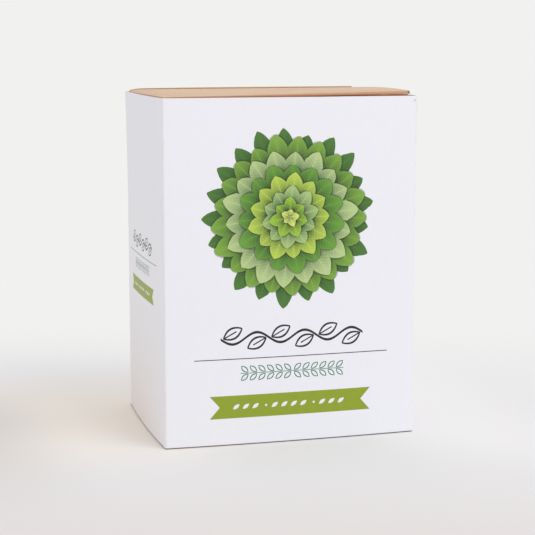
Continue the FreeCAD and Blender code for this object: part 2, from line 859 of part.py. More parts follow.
def make_marker(number):
    """A flat wooden stick with a blunt point, standing on its head."""
    body = new_body("plant_marker_%d" % number)
    half = size.marker_width / 2
    corner = size.marker_corner
    neck = size.marker_length - size.marker_point
    tip = size.marker_tip / 2
    outline = [
        (corner - half, nothing),
        (half - corner, nothing, corner),
        (half, corner),
        (half, neck),
        (tip, size.marker_length),
        (-tip, size.marker_length),
        (-half, neck),
        (-half, corner, corner),
    ]
    stick = pad(body, "marker_stick_%d" % number, "XZ", nothing, size.marker_thickness, outline)
    eased = body.newObject("PartDesign::Chamfer", "marker_edges_%d" % number)
    eased.Base = (stick, ["Face1"])
    eased.UseAllEdges = True
    eased.setExpression("Size", size.marker_edge.formula)
    document.recompute()
    x = inner_side - size.markers_right - half
    y = contents_back - marker_pitch * number
    place(body, x, y, back_floor + size.seat_gap)


def backwards(path):
    """The same open path drawn the other way: each arc starts at its other end and turns back."""
    ends = [corner[:2] for corner in path[1:]]
    arcs = [tuple(-radius for radius in corner[2:]) for corner in path[:-1]]
    return [end + arc for end, arc in zip(reversed(ends), reversed(arcs))] + [path[0][:2]]


def leaflet_face(runs):
    """One face of the folded ribbon, seen from above: it runs right, folds, runs left, folds, and so on.

    runs holds, for a leaf that runs right and for one that runs left, the way it runs, the height of the
    face above the leaf's lower side, and the radius of the fold that follows.
    """
    pitch = size.leaflet_paper + size.leaflet_gap
    straight = size.leaflet_width / 2 - size.leaflet_gap / 2 - size.leaflet_paper
    path = []
    for leaf in range(LEAFLET_LEAVES):
        way, height, radius = runs[leaf % 2]
        low = pitch * leaf
        middle = low + size.leaflet_paper + size.leaflet_gap / 2
        path += [
            (-straight * way, low + height),
            (straight * way, low + height, radius * way),
            ((straight + radius) * way, middle, radius * way),
        ]
    return path[:-2] + [path[-2][:2]]


def make_leaflet():
    """One sheet folded to and fro: its leaves and round folds are one ribbon with two faces."""
    body = new_body("growing_leaflet")
    inside = size.leaflet_gap / 2
    outside = inside + size.leaflet_paper
    near = leaflet_face(((1, nothing, outside), (-1, size.leaflet_paper, inside)))
    far = leaflet_face(((1, size.leaflet_paper, inside), (-1, nothing, outside)))
    pad(body, "leaflet_sheet", "XY", nothing, size.leaflet_height, near + backwards(far))
    place(body, -size.packets_shift, leaflet_y, back_floor + size.seat_gap)


make_sleeve()
make_carton_walls()
make_bottom_back()
make_bottom_side("bottom_panel_left", -1)
make_bottom_side("bottom_panel_right", 1)
make_bottom_front()
make_lid()
make_tuck_flap()
make_dust_flap("dust_flap_left", -1)
make_dust_flap("dust_flap_right", 1)
for count in range(1, KIT_COUNT + 1):
    make_pot(count)
    make_disc(count)
    make_packet(count)
    make_marker(count)
make_leaflet()

document.recompute()
for item in document.Objects:
    if "Invalid" in item.State or "Error" in item.State:
        raise RuntimeError("%s failed: %s" % (item.Name, item.State))
    if item.TypeId == "Sketcher::SketchObject" and not item.FullyConstrained:
        raise RuntimeError("%s isn't fully constrained" % item.Name)

os.makedirs("parts", exist_ok=True)
for body in parts:
    shape = body.Shape
    if shape.isNull() or not shape.isValid() or len(shape.Solids) != 1:
        raise RuntimeError("%s isn't one valid solid" % body.Label)
    shape.exportStep(os.path.join("parts", body.Label + ".step"))
    box = shape.BoundBox
    print(
        "%-20s x %7.2f..%7.2f  y %7.2f..%7.2f  z %7.2f..%7.2f  %8.0f mm3"
        % (body.Label, box.XMin, box.XMax, box.YMin, box.YMax, box.ZMin, box.ZMax, shape.Volume)
    )
print("lid axis y %.4f z %.4f" % (lid_axis_y.value, lid_axis_z.value))
print("tuck axis x %.4f y %.4f z %.4f" % (lid_left.value, tuck_axis_y.value, tuck_axis_z.value))
print("tuck axis runs %.4f along X, %.4f up" % (lid_span.value, size.lid_front_rise.value))
print("dust axis x %.4f z %.4f" % (dust_axis_x.value, dust_axis_z.value))
print("floors: tongue %.3f, back panel %.3f" % (tongue_floor.value, back_floor.value))
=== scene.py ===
# %% [markdown]
# # A boxed herb growing kit
# The object is a folding carton of brown kraft board with a white printed sleeve slipped over it.
# Fibre pots, compost discs, seed packets, wooden markers and a leaflet stand inside. The packed
# CAD model gives every size and every moving body. Here each piece gets the surface that the real
# one has, in the same frame: metres, +Z up, the printed front facing -Y.

# %% Load the frame
import math

import bmesh
import bpy
import numpy as np
from mathutils import Matrix, Vector


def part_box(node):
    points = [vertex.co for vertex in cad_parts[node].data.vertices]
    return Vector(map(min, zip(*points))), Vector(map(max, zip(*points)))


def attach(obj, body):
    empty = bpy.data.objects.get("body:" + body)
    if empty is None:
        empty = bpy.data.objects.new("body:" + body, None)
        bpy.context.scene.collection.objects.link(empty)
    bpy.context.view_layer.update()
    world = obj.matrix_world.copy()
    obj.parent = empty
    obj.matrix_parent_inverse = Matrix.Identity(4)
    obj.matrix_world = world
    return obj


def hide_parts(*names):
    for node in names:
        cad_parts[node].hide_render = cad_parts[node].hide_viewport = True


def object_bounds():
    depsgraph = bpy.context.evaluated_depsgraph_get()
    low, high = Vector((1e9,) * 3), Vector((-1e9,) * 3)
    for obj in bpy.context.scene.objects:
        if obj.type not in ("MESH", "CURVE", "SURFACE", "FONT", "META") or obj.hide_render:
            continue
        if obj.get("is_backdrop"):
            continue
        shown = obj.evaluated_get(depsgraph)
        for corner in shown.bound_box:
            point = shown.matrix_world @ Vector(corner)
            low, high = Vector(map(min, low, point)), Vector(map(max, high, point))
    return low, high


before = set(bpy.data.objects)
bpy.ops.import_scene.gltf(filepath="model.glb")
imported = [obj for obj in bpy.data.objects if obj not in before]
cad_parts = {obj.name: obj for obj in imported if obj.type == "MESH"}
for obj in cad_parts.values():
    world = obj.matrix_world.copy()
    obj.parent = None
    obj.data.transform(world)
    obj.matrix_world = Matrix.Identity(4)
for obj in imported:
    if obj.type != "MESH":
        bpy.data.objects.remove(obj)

MM = 0.001
cad_box = [list(corner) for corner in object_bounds()]


def print_box(name, box):
    print(name, "in mm:", [[round(value / MM, 2) for value in corner] for corner in box])


print_box("CAD box", cad_box)

# %% [markdown]
# ## The camera
# The box was photographed from its left, a little above its top edge, with a long lens. The
# camera's place and angles come from solving a pinhole camera for the sleeve's corners and for the
# lines of its edges.

# %% Place the camera
PICTURE, FOCAL_LENGTH = 535, 1480.7  # both in pixels
SENSOR = 36.0
CAMERA_PLACE = (-0.1893, -0.6905, 0.1865)
YAW, PITCH, ROLL = (math.radians(degrees) for degrees in (15.365, 8.825, 0.01))


def aim(yaw, pitch, roll):
    """Right, up and forward of a camera: it looks along +Y, then turns right, down and round."""
    level = math.cos(pitch)
    forward = Vector((math.sin(yaw) * level, math.cos(yaw) * level, -math.sin(pitch)))
    right = Vector((math.cos(yaw), -math.sin(yaw), 0))
    up = right.cross(forward)
    return (
        right * math.cos(roll) + up * math.sin(roll),
        up * math.cos(roll) - right * math.sin(roll),
        forward,
    )


right, up, forward = aim(YAW, PITCH, ROLL)
lens = bpy.data.cameras.new("camera")
lens.sensor_width = SENSOR
lens.lens = FOCAL_LENGTH * SENSOR / PICTURE
lens.clip_start, lens.clip_end = 0.01, 50
camera = bpy.data.objects.new("camera", lens)
bpy.context.scene.collection.objects.link(camera)
rows = [[right[row], up[row], -forward[row], CAMERA_PLACE[row]] for row in range(3)]
camera.matrix_world = Matrix(rows + [[0, 0, 0, 1]])
bpy.context.scene.camera = camera
print("lens of %.1f mm" % lens.lens)

# %% [markdown]
# ## Shader maths as Python
# A wire is an output socket of a shader node. Arithmetic on wires adds Math nodes, so a mask can be
# written as a formula, and one method makes any other node from its settings and its sockets.

# %% The wire class


class Wire:
    """An output socket. Operators add Math nodes to the tree that is being built."""

    tree = None

    def __init__(self, socket):
        self.socket = socket

    @classmethod
    def node(cls, kind, settings=None, sockets=None, out=0):
        """Add a node, set its settings, link or set its input sockets, and give one output."""
        node = cls.tree.nodes.new("ShaderNode" + kind)
        for name, value in (settings or {}).items():
            setattr(node, name, value)
        for name, value in (sockets or {}).items():
            cls.join(value, node.inputs[name])
        return cls(node.outputs[out])

    @classmethod
    def join(cls, value, socket):
        """Link a wire to a socket, or set the socket to a number, vector or colour."""
        if isinstance(value, Wire):
            cls.tree.links.new(value.socket, socket)
        elif isinstance(value, tuple) and socket.type == "RGBA":
            socket.default_value = (*value, 1)
        else:
            socket.default_value = value

    @classmethod
    def math(cls, operation, *values, clamp=False):
        settings = {"operation": operation, "use_clamp": clamp}
        return cls.node("Math", settings, dict(enumerate(values)))

    def part(self, number):
        """One of the three numbers of a vector."""
        return Wire.node("SeparateXYZ", None, {0: self}, number)

    def __add__(self, other):
        return Wire.math("ADD", self, other)

    __radd__ = __add__

    def __sub__(self, other):
        return Wire.math("SUBTRACT", self, other)

    def __rsub__(self, other):
        return Wire.math("SUBTRACT", other, self)

    def __mul__(self, other):
        return Wire.math("MULTIPLY", self, other)

    __rmul__ = __mul__

    def __truediv__(self, other):
        return Wire.math("DIVIDE", self, other)

    def __rtruediv__(self, other):
        return Wire.math("DIVIDE", other, self)

    def __pow__(self, other):
        return Wire.math("POWER", self, other)

    def __abs__(self):
        return Wire.math("ABSOLUTE", self)

    def __lt__(self, other):
        return Wire.math("LESS_THAN", self, other)

    def __gt__(self, other):
        return Wire.math("GREATER_THAN", self, other)


# %% Helpers for masks and places


def linear(*srgb):
    """A colour as it looks on a screen, 0 to 255, as the linear numbers that shaders use."""
    shares = np.array(srgb) / 255
    curve = ((shares + 0.055) / 1.055) ** 2.4
    return tuple(float(v) for v in np.where(shares < 0.04045, shares / 12.92, curve))


def millimetres(stretch=(1, 1, 1)):
    """The place on the piece in millimetres, from Object coordinates, stretched on each axis."""
    where = Wire.node("TexCoord", None, None, "Object")
    scale = tuple(value / MM for value in stretch)
    return Wire.node("VectorMath", {"operation": "MULTIPLY"}, {0: where, 1: scale})


def coordinates(place):
    return tuple(place.part(number) for number in range(3))


def noise(where, scale, detail=2.0, roughness=0.5):
    sockets = {"Vector": where, "Scale": scale, "Detail": detail, "Roughness": roughness}
    return Wire.node("TexNoise", None, sockets)


def ease(value, low, high):
    """0 below low, 1 above high, and a smooth step between."""
    sockets = {"Value": value, "From Min": low, "From Max": high}
    return Wire.node("MapRange", {"interpolation_type": "SMOOTHSTEP"}, sockets)


def fall(value, low, high):
    """1 below low, 0 above high, and a smooth step between."""
    return 1 - ease(value, low, high)


def mix(factor, first, second):
    """The first colour where factor is 0 and the second where it is 1."""
    return Wire.node("Mix", {"data_type": "RGBA"}, {0: factor, 6: first, 7: second}, 2)


def either(*masks):
    """The largest of some masks, which is 1 where any of them is."""
    largest = masks[0]
    for mask in masks[1:]:
        largest = Wire.math("MAXIMUM", largest, mask)
    return largest


def distance(across, rise):
    """The distance from the middle: the square root of the sum of the two squares."""
    return Wire.math("SQRT", across * across + rise * rise)


def fold_over(value, period):
    """The distance from the middle of the nearest of equal cells, negative on its low side."""
    return Wire.math("WRAP", value, period / 2, -period / 2)


def turned(across, rise, degrees):
    """The same place in axes that are turned by some degrees."""
    cosine, sine = math.cos(math.radians(degrees)), math.sin(math.radians(degrees))
    return across * cosine + rise * sine, rise * cosine - across * sine


# %% Helpers for finishes


def new_finish(name, **sockets):
    """A material with its Principled shader. Later nodes go into its tree."""
    material = bpy.data.materials.new(name)
    material.use_nodes = True
    Wire.tree = material.node_tree
    shader = Wire.tree.nodes["Principled BSDF"]
    for label, value in sockets.items():
        Wire.join(value, shader.inputs[label])
    return material, shader


def feed(shader, label, value):
    Wire.join(value, shader.inputs[label])


def bump(height, depth, strength=1.0):
    """A normal that follows a height between 0 and 1 over a depth in millimetres."""
    return Wire.node("Bump", None, {"Strength": strength, "Distance": depth * MM, "Height": height})


# %% [markdown]
# ## Board as two faces and a rim
# A folded board is a thin sheet, so a piece of it is two grids of points, its outer and its inner
# face, and a rim that joins them all round. Each of the three can have a finish of its own, which
# is what a coated board needs: it is white outside, grey inside, and shows its fibres where it is
# cut.

# %% Meshes from arrays
WELD = 0.002  # mm, within which points become one


def quads(first, second, third, fourth):
    return np.stack([first, second, third, fourth], -1).reshape(-1, 4)


def numbered(grid):
    """The numbers of a grid's points, in its own rows and columns."""
    return np.arange(grid.shape[0] * grid.shape[1]).reshape(grid.shape[:2])


def grid_faces(number):
    """The quads between the neighbours of a grid of point numbers."""
    return quads(number[:-1, :-1], number[:-1, 1:], number[1:, 1:], number[1:, :-1])


def add_piece(name, points, faces, finishes, kinds=None, sharp=35):
    """A mesh from points in millimetres and rows of point numbers, with outward faces."""
    mesh = bpy.data.meshes.new(name)
    mesh.from_pydata((points.reshape(-1, 3) * MM).tolist(), [], faces.tolist())
    for finish in finishes:
        mesh.materials.append(finish)
    if kinds is not None:
        mesh.polygons.foreach_set("material_index", np.asarray(kinds, np.int32))
    shell = bmesh.new()
    shell.from_mesh(mesh)
    bmesh.ops.remove_doubles(shell, verts=shell.verts, dist=WELD * MM)
    bmesh.ops.recalc_face_normals(shell, faces=shell.faces)
    shell.to_mesh(mesh)
    shell.free()
    mesh.polygons.foreach_set("use_smooth", np.ones(len(mesh.polygons), bool))
    mesh.set_sharp_from_angle(angle=math.radians(sharp))
    piece = bpy.data.objects.new(name, mesh)
    bpy.context.scene.collection.objects.link(piece)
    print("%s: %d faces" % (name, len(mesh.polygons)))
    return piece


def board(name, outer, inner, finishes):
    """Outer and inner are grids of points of one size, and the finishes for outer, inner, rim."""
    number = numbered(outer)
    rim = np.concatenate([number[0, :], number[1:, -1], number[-1, -2::-1], number[-2:0:-1, 0]])
    after = np.roll(rim, -1)
    count = number.size
    parts = (
        grid_faces(number),
        grid_faces(number)[:, ::-1] + count,
        quads(rim, rim + count, after + count, after),
    )
    kinds = np.repeat(np.arange(3), [len(part) for part in parts])
    points = np.concatenate([outer.reshape(-1, 3), inner.reshape(-1, 3)])
    return add_piece(name, points, np.concatenate(parts), finishes, kinds)


def dress(piece, node, body):
    """The piece stands for a CAD node, which is hidden, and moves with its body."""
    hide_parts(node)
    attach(piece, body)


def node_box(node):
    """The lowest and highest corners of a CAD node at rest, in millimetres."""
    return tuple(np.array(corner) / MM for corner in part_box(node))


def node_foot(node):
    """The middle of the underside of a CAD node's box, in millimetres."""
    low, high = node_box(node)
    return np.array([(low[0] + high[0]) / 2, (low[1] + high[1]) / 2, low[2]])


# %% [markdown]
# ## The print on the sleeve
# The sleeve's front has a large round picture in leaf greens, a line of black drawing over a thin
# rule, a finer green line under it, and a ribbon with forked ends. The sides repeat the lower part
# at seven tenths of its size. The picture here is a rosette of leaves: rings of pointed leaves,
# each ring laid over the one outside it. Everything is a formula of the place on the board, so it
# stays sharp.

# %% The rosette
PICTURE_MIDDLE = (-1.1, 105.1)
DEEP_GREEN, LEAF_SHADE = linear(12, 34, 16), linear(10, 30, 16)

# Each ring: number of leaves, where they start, how long and wide they are in mm, and two greens.
RINGS = (
    (21, 23.5, 18.0, 4.4, (16, 48, 24), (74, 122, 46)),
    (21, 22.5, 15.5, 5.0, (30, 78, 30), (128, 172, 62)),
    (18, 16.5, 16.0, 5.2, (66, 110, 62), (186, 208, 142)),
    (15, 12.0, 14.5, 5.0, (24, 66, 30), (106, 162, 54)),
    (13, 8.0, 12.5, 4.4, (80, 128, 40), (188, 212, 84)),
    (10, 4.5, 10.0, 3.8, (56, 104, 48), (170, 198, 126)),
    (7, 1.5, 8.0, 3.3, (44, 96, 30), (156, 196, 60)),
    (5, -1.0, 5.5, 2.2, (96, 140, 44), (214, 228, 120)),
)


def leaf_ring(under, radius, turn, ring, number):
    """Lay one ring of leaves over a picture.

    A leaf's half width is its breadth times 4t(1 - t) to the power 0.8, where t runs from its
    root to its tip. Its green lightens towards the tip, the midrib and the fine side veins.
    """
    count, start, length, breadth, dark, light = ring
    swing = turn * count + 0.5 * (number % 2) + 0.13 * number
    cell = Wire.math("FLOORED_MODULO", Wire.math("FLOOR", swing), count)
    chance = Wire.node("TexWhiteNoise", {"noise_dimensions": "1D"}, {"W": cell + 31 * number})
    along = (radius - start) / (length * (0.82 + 0.24 * chance))
    aside = abs((Wire.math("FRACT", swing) - 0.5) * radius * (2 * math.pi / count))
    half = breadth * (4 * along * (1 - along)) ** 0.8
    share = aside / half
    rib = aside < 0.26 - 0.16 * along
    if number:
        shade = fall(aside - half, 0.0, 1.6) * (abs(along - 0.5) < 0.5)
        under = mix(0.6 * shade, under, LEAF_SHADE)
    vein_turns = Wire.math("FRACT", along * length * 0.62 - aside * 0.5)
    vein = fall(abs(vein_turns - 0.5), 0.02, 0.16)
    tone = 1.25 * along - 0.42 + 0.3 * chance + 0.3 * abs(share - 0.5) - 0.14 * (share > 0.9)
    tone = Wire.math("ADD", tone, 0.34 * rib + 0.2 * vein, clamp=True)
    deep = mix(ease(along, 0.25, 0.7), DEEP_GREEN, linear(*dark))
    return mix(aside < half, under, mix(tone, deep, linear(*light)))


def rosette(place, x, z, paper):
    """The rings on the paper round the picture's middle, whose edge wavers by a slow noise."""
    wobble = 0.8 * noise(place, 0.3, 2)
    wide, high = x - PICTURE_MIDDLE[0] + wobble, z - PICTURE_MIDDLE[1] - wobble
    radius = distance(wide, high)
    turn = Wire.math("ARCTAN2", high, wide) / (2 * math.pi)
    picture = paper
    for number, ring in enumerate(RINGS):
        picture = leaf_ring(picture, radius, turn, ring, number)
    return picture


print("rosette of %d leaves" % sum(ring[0] for ring in RINGS))

# %% The drawn lines
# Places and lengths in millimetres and slants in degrees. A drawn leaf has a half length, a half
# breadth and a stroke.
VINE_PERIOD, VINE_WAVE, VINE_HALF, VINE_STROKE = 22.8, 2.6, 34.2, 1.2
VINE_LEAF, VINE_LEAF_RISE, VINE_SLANT = (4.9, 2.4, 0.95), 2.4, 28
RIB_MIDDLE, RIB_HALF, RIB_STROKE = -1.2, 3.2, 0.6
LAUREL_PERIOD, LAUREL_START, LAUREL_HALF, LAUREL_STROKE = 4.1, 2.4, 24.8, 0.32
LAUREL_LEAF, LAUREL_LEAF_RISE, LAUREL_SLANT = (2.1, 0.95, 0.5), 1.9, 42
MARK_PERIOD, MARK_START, MARK_HALF, MARK_BREADTH, MARK_SLANT = 4.6, 0.65, 1.9, 0.85, 35
MARKS_HALF, MARKS_MIDDLE, DOT_PLACE, DOT_REACH_SQUARED = 27.8, -1.2, 11.5, 0.3


def leaf_line(along, aside, length, breadth, stroke):
    """The outline of a leaf: its half width is its breadth times 1 - (along / length) squared."""
    half = breadth * (1 - along * along / length**2)
    edge = abs(abs(aside) - half) < stroke / 2
    return edge * (abs(along) < length * 1.04)


def vine(across, rise):
    """A wavy stem with a leaf in each hollow, on alternate sides."""
    phase = across * (2 * math.pi / VINE_PERIOD)
    stem = abs(rise - VINE_WAVE * Wire.math("SINE", phase)) < VINE_STROKE / 2
    local = fold_over(across - VINE_PERIOD / 4, VINE_PERIOD / 2)
    side = 1 - 2 * (Wire.math("SINE", phase) > 0)
    along, aside = turned(local * side, rise * side - VINE_LEAF_RISE, VINE_SLANT)
    leaf = leaf_line(along, aside, *VINE_LEAF)
    rib = (abs(aside) < RIB_STROKE / 2) * (abs(along - RIB_MIDDLE) < RIB_HALF)
    return either(leaf, rib, stem) * (abs(across) < VINE_HALF)


def laurel(across, rise):
    """A thin stem with slanting pairs of small leaves that point away from the middle."""
    local = fold_over(abs(across) - LAUREL_START, LAUREL_PERIOD)
    along, aside = turned(local, abs(rise) - LAUREL_LEAF_RISE, LAUREL_SLANT)
    drawn = either(leaf_line(along, aside, *LAUREL_LEAF), abs(rise) < LAUREL_STROKE / 2)
    return drawn * (abs(across) < LAUREL_HALF)


def ribbon_marks(across, rise):
    """Small solid leaves in a row, with a dot between two groups."""
    along, aside = turned(fold_over(across - MARK_START, MARK_PERIOD), rise, MARK_SLANT)
    leaf = abs(aside) < MARK_BREADTH * (1 - along * along / MARK_HALF**2)
    from_dot = abs(abs(across - MARKS_MIDDLE) - DOT_PLACE)
    dot = (from_dot * from_dot + rise * rise) < DOT_REACH_SQUARED
    marks = either(leaf * (from_dot > MARK_PERIOD / 2), dot)
    return marks * (abs(across - MARKS_MIDDLE) < MARKS_HALF)


# %% The whole print
SLEEVE_FOOT = 0.2
SIDE_STARTS = 59.6  # a place further out than this is on a side panel
BOARD_WHITE = linear(240, 241, 246)
CHARCOAL, FINE_GREEN = linear(32, 30, 34), linear(54, 120, 84)
# In millimetres. Rises and drops are from the middle of the rule.
RULE_HEIGHT, RULE_HALF, RULE_STROKE = 40.7, 46.5, 0.4
VINE_RISE, LAUREL_DROP, RIBBON_DROP = 9.5, 6.9, 22.5
RIBBON_HALF, RIBBON_MIDDLE, RIBBON_HALF_HEIGHT = 38.8, -0.65, 5.35
FORK_DEPTH, FORK_SLOPE = 4.7, 0.88
SIDE_SCALE, SIDE_RULE_HEIGHT, SIDE_MIDDLE = 0.7, 83.1, 1.7
NICK_X, NICK_HEIGHT, NICK_REACH_SQUARED = 58.9, 157.9, 0.35


def printed(place):
    """The colour of the sleeve's outer face at a place in millimetres, and the place's numbers."""
    x, y, z = coordinates(place)
    on_side = abs(x) > SIDE_STARTS
    on_front = (1 - on_side) * (y < 0)
    side_across = (y - SIDE_MIDDLE) * (1 - 2 * (x < 0)) / SIDE_SCALE
    side_rise = (z - SIDE_RULE_HEIGHT) / SIDE_SCALE
    across = on_side * side_across + (1 - on_side) * x
    rise = on_side * side_rise + (1 - on_side) * (z - RULE_HEIGHT)
    shown = either(on_side, on_front)

    paper = mix(noise(place, 0.9, 3), linear(238, 239, 244), linear(243, 244, 248))
    colour = mix(on_front, paper, rosette(place, x, z, paper))
    rule = (abs(rise) < RULE_STROKE / 2) * (abs(across) < RULE_HALF)
    colour = mix(shown * rule, colour, CHARCOAL)
    colour = mix(shown * vine(across, rise - VINE_RISE), colour, CHARCOAL)
    colour = mix(shown * laurel(across, rise + LAUREL_DROP), colour, FINE_GREEN)

    level = rise + RIBBON_DROP
    fork = either(FORK_DEPTH - abs(level) * FORK_SLOPE, 0)
    ribbon = abs(across - RIBBON_MIDDLE) < RIBBON_HALF - fork
    ribbon = shown * ribbon * (abs(level) < RIBBON_HALF_HEIGHT)
    green = mix(noise(place, 0.35, 2), linear(139, 157, 28), linear(151, 168, 38))
    colour = mix(ribbon, colour, green)
    colour = mix(ribbon * ribbon_marks(across, level), colour, BOARD_WHITE)

    wide, high = x - NICK_X, z - NICK_HEIGHT
    nick = on_front * (wide * wide + high * high < NICK_REACH_SQUARED)
    return mix(0.5 * nick, colour, linear(176, 178, 186)), (x, y, z)


# %% The sleeve's three finishes
# Where the wear of a fold starts and is whole, and how far above the foot its painted shadow fades
WEAR_X, WEAR_Y, FOOT_SHADOW_FADE = (59.0, 59.7), (43.3, 44.1), (0.15, 0.5)

sleeve_print, shader = new_finish("sleeve_print")
place = millimetres()
colour, (x, y, z) = printed(place)
at_fold = ease(abs(x), *WEAR_X) * ease(abs(y), *WEAR_Y)
worn = at_fold * ease(noise(millimetres((1, 1, 0.25)), 0.8, 4), 0.45, 0.62)
colour = mix(0.12 * at_fold + 0.3 * worn, colour, linear(226, 224, 222))
# Painted contact shadow: the lowest half millimetre of the outer face is painted dark brown
foot = fall(z - SLEEVE_FOOT, *FOOT_SHADOW_FADE)
feed(shader, "Base Color", mix(0.97 * foot, colour, linear(88, 68, 58)))
feed(shader, "Roughness", 0.38 + 0.1 * noise(place, 0.25, 3) + 0.15 * at_fold)
grain = noise(place, 1.6, 3) * 0.6 + noise(place, 0.08, 2) * 1.4
feed(shader, "Normal", bump(grain, 0.03, 0.35))

sleeve_inside, shader = new_finish("sleeve_inside", Roughness=0.85)
fibres = noise(millimetres((1, 1, 0.22)), 1.4, 5, 0.65)
grey = mix(fibres, linear(196, 192, 184), linear(222, 219, 212))
specks = ease(noise(millimetres(), 2.6, 2), 0.7, 0.78)
feed(shader, "Base Color", mix(specks * 0.5, grey, linear(120, 112, 100)))
feed(shader, "Normal", bump(fibres, 0.04, 0.6))

board_edge, shader = new_finish("board_edge", Roughness=0.9)
layers = noise(millimetres((0.6, 0.6, 5)), 1.2, 3)
feed(shader, "Base Color", mix(layers, linear(206, 204, 200), linear(236, 235, 233)))
feed(shader, "Normal", bump(layers, 0.05, 0.5))
print("sleeve finishes:", [finish.name for finish in (sleeve_print, sleeve_inside, board_edge)])

# %% [markdown]
# ## The sleeve
# The sleeve is one strip of board: a glue lap, the left side, the front, the right side and the
# back. It is carried round the box as a path of flat and bowed runs joined by tight folds, and the
# lap ends up glued inside the back. The outer face is that path, and the inner face lies one board
# further in. Its cut foot clears the ground by a fifth of a millimetre, which draws the dark line
# under a real box, and a painted shadow darkens the foot as well. Its mouth opens a little at two
# folds, where a hand has slid it on.

# %% The plan of the sleeve
HALF_WIDTH, FRONT_FOLD, BACK_FOLD = 60.25, -44.35, 45.65
SLEEVE_BOARD, SLEEVE_TOP, FOLD_ROUND, PANEL_BOW, GLUE_LINE = 0.45, 160.0, 0.9, 1.3, 0.02
LAP_END, BACK_EDGE = -45.8, -59.3
LAP_POINTS, SIDE_POINTS, FRONT_POINTS, BACK_POINTS, CORNER_POINTS = 8, 41, 51, 31, 7


def run(start, end, bow, count):
    """Points and normals along a run to the left of which the box lies, bowed by a parabola."""
    start, end = np.array(start, float), np.array(end, float)
    share = np.linspace(0, 1, count)[:, None]
    length = np.linalg.norm(end - start)
    direction = (end - start) / length
    out = np.array([direction[1], -direction[0]])
    points = start + (end - start) * share + out * bow * 4 * share * (1 - share)
    normals = out - direction * (bow * 4 * (1 - 2 * share) / length)
    return points, normals / np.linalg.norm(normals, axis=1, keepdims=True)


def turn_corner(centre, start_degrees):
    """A quarter turn to the left round a centre: the points of a circle, without its two ends."""
    angle = np.radians(start_degrees + np.linspace(0, 90, CORNER_POINTS + 2)[1:-1])
    normals = np.stack([np.cos(angle), np.sin(angle)], 1)
    return np.array(centre) + normals * FOLD_ROUND, normals


def sleeve_path():
    """The plan of the outer face, from the end of the lap round to the free edge of the back."""
    lap = BACK_FOLD - SLEEVE_BOARD - GLUE_LINE
    near, front, back = HALF_WIDTH - FOLD_ROUND, FRONT_FOLD + FOLD_ROUND, BACK_FOLD - FOLD_ROUND
    pieces = [
        run((LAP_END, lap), (-near, lap), 0, LAP_POINTS),
        turn_corner((-near, lap - FOLD_ROUND), 90),
        run((-HALF_WIDTH, lap - FOLD_ROUND), (-HALF_WIDTH, front), PANEL_BOW, SIDE_POINTS),
        turn_corner((-near, front), 180),
        run((-near, FRONT_FOLD), (near, FRONT_FOLD), PANEL_BOW, FRONT_POINTS),
        turn_corner((near, front), 270),
        run((HALF_WIDTH, front), (HALF_WIDTH, back), PANEL_BOW, SIDE_POINTS),
        turn_corner((near, back), 0),
        run((near, BACK_FOLD), (BACK_EDGE, BACK_FOLD), 0, BACK_POINTS),
    ]
    return tuple(np.concatenate([piece[part] for piece in pieces]) for part in range(2))


plan, outward = sleeve_path()
print("%d points round the sleeve" % len(plan))

# %% Carry the sleeve's board round the box
MOUTH_START, LEFT_OPENING, RIGHT_OPENING = 105, 0.8, 0.4


def open_mouth(points):
    """Points moved outwards by the square of the height above the mouth's start: most at the left
    fold of the back, half as much at the right fold of the front, and not at mid-panel."""
    x = points[..., 0] / HALF_WIDTH
    depth = (points[..., 1] - FRONT_FOLD) / (BACK_FOLD - FRONT_FOLD)
    rise = np.clip((points[..., 2] - MOUTH_START) / (SLEEVE_TOP - MOUTH_START), 0, 1) ** 2
    near_fold = (1 - 2 * np.clip(depth, 0, 1)) ** 2
    left = LEFT_OPENING * np.clip(-x, 0, 1) ** 4 * np.clip(depth, 0, 1)
    right = RIGHT_OPENING * np.clip(x, 0, 1) ** 4 * np.clip(1 - depth, 0, 1)
    limit = HALF_WIDTH + PANEL_BOW
    moved = points.copy()
    moved[..., 0] = np.clip(moved[..., 0] + rise * near_fold * (right - left), -limit, limit)
    return moved


heights = np.linspace(SLEEVE_FOOT, SLEEVE_TOP, 49)
shape = (len(heights), len(plan))
levels = np.broadcast_to(heights[:, None], shape)
outer = np.dstack([np.broadcast_to(plan[:, axis], shape) for axis in range(2)] + [levels])
thickness = np.pad(outward * SLEEVE_BOARD, ((0, 0), (0, 1)))
faces = [open_mouth(points) for points in (outer, outer - thickness)]
sleeve = board("sleeve_board", *faces, (sleeve_print, sleeve_inside, board_edge))
dress(sleeve, "sleeve", "sleeve")

# %% [markdown]
# A baked print needs a map in which the front gets the most room. The panels are split at the
# middles of their folds, and each has a rectangle of the map. The inner face and the cut rims
# share what is left.

# %% Lay the sleeve out for baking
# Left, low, right and high of the rectangles of the lap, left side, front, right side and back
OUTER_ZONES = (
    (0.41, 0.04, 0.46, 0.235),
    (0.575, 0.245, 0.78, 0.995),
    (0.005, 0.245, 0.565, 0.995),
    (0.79, 0.245, 0.995, 0.995),
    (0.005, 0.04, 0.4, 0.235),
)
INNER_ZONE = (0.47, 0.04, 0.995, 0.235)
RIM_MARGIN, RIM_FOOT, RIM_STEP, RIM_WIDTH = 0.005, 0.004, 0.008, 0.005


def fold_middles():
    """The numbers of the path's points in the middles of its four folds."""
    panels = np.cumsum([LAP_POINTS, SIDE_POINTS, FRONT_POINTS, SIDE_POINTS])
    return panels + CORNER_POINTS * np.arange(4) + CORNER_POINTS // 2


